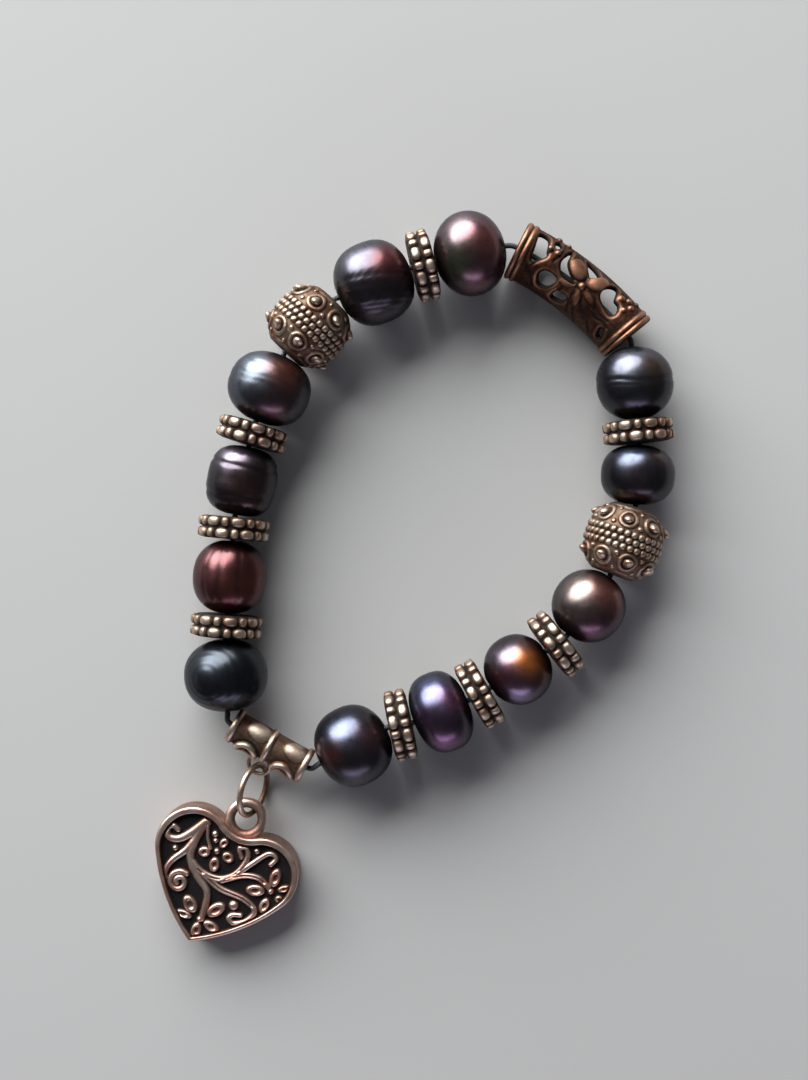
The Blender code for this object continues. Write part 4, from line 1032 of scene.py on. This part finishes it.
def heart_outline():
    """Closed outline and its outward directions: a small circle at the tip, a wide arc up each
    side, a lobe's circle, and a hollow arc between the lobes, each touching the next."""
    width = HEART_WIDTH
    lobe_x, lobe_y, lobe = LOBE_ACROSS * width, LOBE_ALONG * width, LOBE_RADIUS * width
    tip, side = TIP_RADIUS * width, SIDE_RADIUS * width
    rise = NOTCH_ALONG * width - lobe_y
    hollow = (lobe_x ** 2 + rise ** 2 - lobe ** 2) / (2 * (lobe - rise))
    hollow_y = NOTCH_ALONG * width + hollow
    span = math.hypot(lobe_x, lobe_y - tip)
    to_lobe, to_tip = side - lobe, side - tip
    along = (to_tip ** 2 - to_lobe ** 2 + span ** 2) / (2 * span)
    off = math.sqrt(to_tip ** 2 - along ** 2)
    ux, uy = lobe_x / span, (lobe_y - tip) / span
    side_x, side_y = ux * along - uy * off, tip + uy * along + ux * off
    from_tip = math.atan2(tip - side_y, -side_x)
    at_lobe = math.atan2(lobe_y - side_y, lobe_x - side_x)
    to_hollow = math.atan2(hollow_y - lobe_y, -lobe_x)
    arcs = [(0.0, tip, tip, -math.pi / 2, from_tip, 10, 1),
            (side_x, side_y, side, from_tip, at_lobe, 140, 1),
            (lobe_x, lobe_y, lobe, at_lobe, to_hollow, 124, 1),
            (0.0, hollow_y, hollow, to_hollow - math.pi, -math.pi / 2, 24, -1)]
    points, outward = [], []
    for x, y, radius, start, stop, count, sign in arcs:
        turns = np.linspace(start, stop, count, endpoint=False)
        ways = np.column_stack([np.cos(turns), np.sin(turns)])
        points.append([x, y] + radius * ways)
        outward.append(sign * ways)
    points = np.vstack(points + [[[0.0, NOTCH_ALONG * width]]])
    outward = np.vstack(outward + [[[0.0, 1.0]]])
    mirror = slice(-2, 0, -1)
    return (np.vstack([points, points[mirror] * [-1, 1]]),
            np.vstack([outward, outward[mirror] * [-1, 1]]))


def heart_relief(spots):
    """Rise over the sunk floor and height mark: rounded strokes along smooth lines that taper,
    some with a groove down the middle, dots, a spiral and flowers of hollow petals."""
    rise, mark = np.zeros(len(spots)), np.zeros(len(spots))

    def add(up, high):
        np.maximum(rise, up, out=rise)
        np.maximum(mark, high, out=mark)

    strokes = [(np.array(line) * HEART_WIDTH, start, stop, grooved)
               for line, start, stop, grooved in SCROLLS.values()]
    turns = SPIRAL_START + np.linspace(0, 2 * math.pi * SPIRAL_TURNS, SPIRAL_POINTS)
    reach = SPIRAL_RADIUS * np.linspace(1.0, SPIRAL_INNER, SPIRAL_POINTS)
    spiral = np.column_stack([np.cos(turns), np.sin(turns)]) * reach[:, None]
    strokes.append(((spiral + SPIRAL_PLACE) * HEART_WIDTH, SPIRAL_STROKE, SPIRAL_STROKE, None))
    for corners, start, stop, grooved in strokes:
        line = smooth_line(corners, 8)
        low, high = line.min(axis=0) - 1.0 * MM, line.max(axis=0) + 1.0 * MM
        near = ((spots > low) & (spots < high)).all(axis=1)
        away, _, share = nearest_on(line, spots[near])
        half = STROKE_HALF * (start + (stop - start) * share)
        ridge = rounded(away, half) ** 0.8
        groove = 0 * away
        if grooved:
            within = eased(share, grooved[0] - 0.05, grooved[0]) * eased(
                grooved[1] + 0.05 - share, 0, 0.05)
            groove = within * dip(away, 0.10 * MM)
        up, high = np.zeros(len(spots)), np.zeros(len(spots))
        up[near] = HEART_RELIEF * ridge * (1 - 0.55 * groove)
        high[near] = ridge * (0.55 + 0.45 * ridge) * (1 - 0.75 * groove)
        add(up, high)
    for across, along, width in DOTS:
        away = np.hypot(*(spots - np.array([across, along]) * HEART_WIDTH).T)
        dome = rounded(away, 0.54 * width * HEART_WIDTH)
        add(1.05 * HEART_RELIEF * dome, dome)
    for place, petals in FLOWERS.items():
        off = spots - np.array(place) * HEART_WIDTH
        core = rounded(np.hypot(*off.T), HEART_CORE_HALF)
        add(1.10 * HEART_RELIEF * core, core)
        for degrees, reach, long, wide in petals:
            x, y = turned_offsets(off, degrees)
            x = x - reach * HEART_WIDTH
            away = np.hypot(x / (0.57 * long * HEART_WIDTH), y / (0.58 * wide * HEART_WIDTH))
            petal = rounded(away - 0.66, 0.36)
            add(0.95 * HEART_RELIEF * petal, petal)
            add(0.30 * HEART_RELIEF * (away < 0.7), 0.22 * (away < 0.7))
    return rise, mark


def heart():
    """Rings of the outline drawn inwards and upwards: back edge, side wall, rounded front edge,
    rim, wider towards the lobes, and the sunk floor shrinking to its middle with the relief
    raised on it. Each level is a ring's inset, height and mark."""
    axis = np.array([math.cos(HEART_HEADING), math.sin(HEART_HEADING), 0.0])
    along, across = -axis, np.array([-axis[1], axis[0], 0.0])
    solid = solid_points("heart_charm")
    sides = solid @ across
    origin = across * (sides.max() + sides.min()) / 2 + along * (solid @ along).min()
    outline, outward = heart_outline()
    floor = HEART_THICK - HEART_RECESS
    bend = np.linspace(0, np.pi / 2, 6)
    edge, top = HEART_EDGE, HEART_THICK - HEART_EDGE
    levels = [(edge + 0.6 * MM, 0.0, 0.45)]
    levels += [(edge * (1 - math.sin(t)), edge * (1 - math.cos(t)), 0.50) for t in bend]
    levels += [(0.0, z, 0.56) for z in np.linspace(edge, top, 12)[1:]]
    levels += [(edge * (1 - math.cos(t)), top + edge * math.sin(t), 0.62 + 0.30 * math.sin(t))
               for t in bend[1:]]
    levels += [(inset, HEART_THICK, 0.92) for inset in np.linspace(edge, HEART_RIM, 6)[1:-2]]
    levels += [(HEART_RIM - 0.06 * MM, HEART_THICK - 0.02 * MM, 0.92),
               (HEART_RIM - 0.02 * MM, HEART_THICK - 0.06 * MM, 0.88),
               (HEART_RIM, HEART_THICK - 0.13 * MM, 0.78),
               (HEART_RIM + 0.05 * MM, 0.5 * (HEART_THICK + floor), 0.35),
               (HEART_RIM + 0.10 * MM, floor + 0.04 * MM, 0.08),
               (HEART_RIM + 0.14 * MM, floor, 0.04)]
    inset, z, value = (column[:, None] for column in np.array(levels).T)
    rim_share = 0.55 + 0.95 * eased(outline[:, 1] / HEART_WIDTH, 0.30, 0.74)
    past_edge = np.maximum(inset - edge, 0) * (z > edge + 1.0 * MM)
    rings = outline - (inset + past_edge * (rim_share - 1))[..., None] * outward
    own_side = np.where(outline[:, 0] >= 0, 1, -1)
    rings[..., 0] = own_side * np.maximum(own_side * rings[..., 0], 0)
    middle = np.array([0.0, FLOOR_MIDDLE_ALONG * HEART_WIDTH])
    shrink = np.linspace(1, 0.004, FLOOR_RINGS)[1:, None, None]
    sunk = (middle + shrink * (rings[-1] - middle)).reshape(-1, 2)
    rise, high = heart_relief(sunk)
    from_rim = nearest_on(rings[-1][::4], sunk, closed=True)[0]
    rise = rise * eased(from_rim, -0.05 * MM, 0.25 * MM)
    columns = len(outline)
    flat = np.vstack([rings.reshape(-1, 2), sunk])
    points = origin + flat[:, :1] * across + flat[:, 1:] * along
    points[:, 2] = np.concatenate([np.repeat(z, columns), floor + rise])
    mark = np.concatenate([np.repeat(value, columns), 0.05 + 0.95 * high])
    rows = len(points) // columns
    faces = grid_faces(rows, columns, close_rows=False)
    first, last = np.arange(columns)[::-1], np.arange(columns) + (rows - 1) * columns
    piece = lay("heart_charm_relief", points, faces, heart_silver, "antiqued_silver",
                caps=(first, last), height=mark)
    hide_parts("heart_charm")
    loop_along = NOTCH_ALONG * HEART_WIDTH + HEART_LOOP_WIDTH / 2 - HEART_LOOP_SINK
    centre = origin + loop_along * along + [0.0, 0.0, HEART_LOOP_LIFT]
    wire_loop("heart_charm_loop", centre, across, along, HEART_LOOP_WIDTH, HEART_LOOP_WIRE,
              heart_silver)


heart()


# Elastic

def elastic_thread():
    """A circle carried along a smooth line through the middle and both ends of every hole: each
    point is the line's plus the circle's two offsets times the directions square to it."""
    solid = solid_points("elastic_thread")
    stops = []
    for name in STRING:
        seat = seats[name]
        inner = [seat.centre]
        if name == "filigree_tube":
            half = seat.chord / 2
            x = np.linspace(-0.8, 0.8, 5) * half
            sag = TUBE_BEND_RADIUS - half ** 2 / 2 / TUBE_BEND_RADIUS
            inner = seat.placed(x, np.sqrt(TUBE_BEND_RADIUS ** 2 - x ** 2) - sag, 0 * x)
        stops += [seat.back, *inner, seat.front]
    spots = []
    for stop in stops:
        away = np.hypot(*(solid - stop)[:, :2].T)
        close = solid[away < away.min() + THREAD_NEAR]
        spots.append([*stop[:2], (close[:, 2].max() + close[:, 2].min()) / 2])
    line = smooth_line(spots, 6, closed=True)
    run = np.roll(line, -1, axis=0) - np.roll(line, 1, axis=0)
    run /= np.linalg.norm(run, axis=1, keepdims=True)
    across = np.cross([0.0, 0.0, 1.0], run)
    across /= np.linalg.norm(across, axis=1, keepdims=True)
    turn = turns_round(THREAD_SIDES)[:, None]
    points = line[:, None] + THREAD_WIDTH / 2 * (
        np.cos(turn) * across[:, None] + np.sin(turn) * np.cross(run, across)[:, None])
    piece = lay("elastic_thread_round", points, grid_faces(len(line), THREAD_SIDES), elastic,
                "elastic")
    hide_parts("elastic_thread")


elastic_thread()


# Floor, light and camera

def floor():
    """Flat plate under the bracelet, far wider than the view."""
    made, tree, shader = shader_of("pale_paper")
    feed(tree, shader, {"Base Color": (0.50, 0.50, 0.49, 1), "Roughness": 0.9,
                        "Specular IOR Level": 0.2})
    reach, level = 1.2, -0.03 * MM
    mesh = bpy.data.meshes.new("floor")
    corners = ((-1, -1), (1, -1), (1, 1), (-1, 1))
    mesh.from_pydata([(x * reach, y * reach, level) for x, y in corners], [], [(0, 1, 2, 3)])
    mesh.materials.append(made)
    plate = bpy.data.objects.new("floor", mesh)
    bpy.context.scene.collection.objects.link(plate)


def soft_light(name, place, size, power, colour):
    """Oval light that looks at the middle of the view."""
    light = bpy.data.lights.new(name, "AREA")
    light.shape = "ELLIPSE"
    light.size, light.size_y = size
    light.energy = power
    light.color = colour
    holder = bpy.data.objects.new(name, light)
    holder.location = place
    aim = holder.location.copy()
    aim.x -= VIEW_OVER[0]
    aim.y -= VIEW_OVER[1]
    holder.rotation_euler = aim.to_track_quat("Z", "Y").to_euler()
    bpy.context.scene.collection.objects.link(holder)


def world_light(strength):
    """Even, slightly cool light from all round."""
    world = bpy.data.worlds.new("room")
    world.use_nodes = True
    feed(world.node_tree, world.node_tree.nodes["Background"],
         {"Color": (0.90, 0.93, 1.0, 1), "Strength": strength})
    bpy.context.scene.world = world


def camera():
    """Straight down, with a lens that fits the frame's height at the beads' level."""
    view = bpy.data.cameras.new("camera")
    view.sensor_fit = "VERTICAL"
    view.sensor_height = 36
    view.lens = 36 * (VIEW_HEIGHT - BEAD_LEVEL) / FRAME_TALL
    view.clip_start, view.clip_end = 0.01, 10
    holder = bpy.data.objects.new("camera", view)
    holder.location = (*VIEW_OVER, VIEW_HEIGHT)
    bpy.context.scene.collection.objects.link(holder)
    bpy.context.scene.camera = holder


floor()
soft_light("window", place=(-0.35, 0.69, 0.38), size=(1.20, 0.90), power=22.5,
           colour=(0.98, 0.99, 1.0))
soft_light("low_fill", place=(0.05, -0.85, 0.22), size=(0.90, 0.25), power=1.6,
           colour=(0.80, 0.74, 1.0))
world_light(strength=0.09)
camera()
bpy.context.scene.view_settings.view_transform = "Standard"
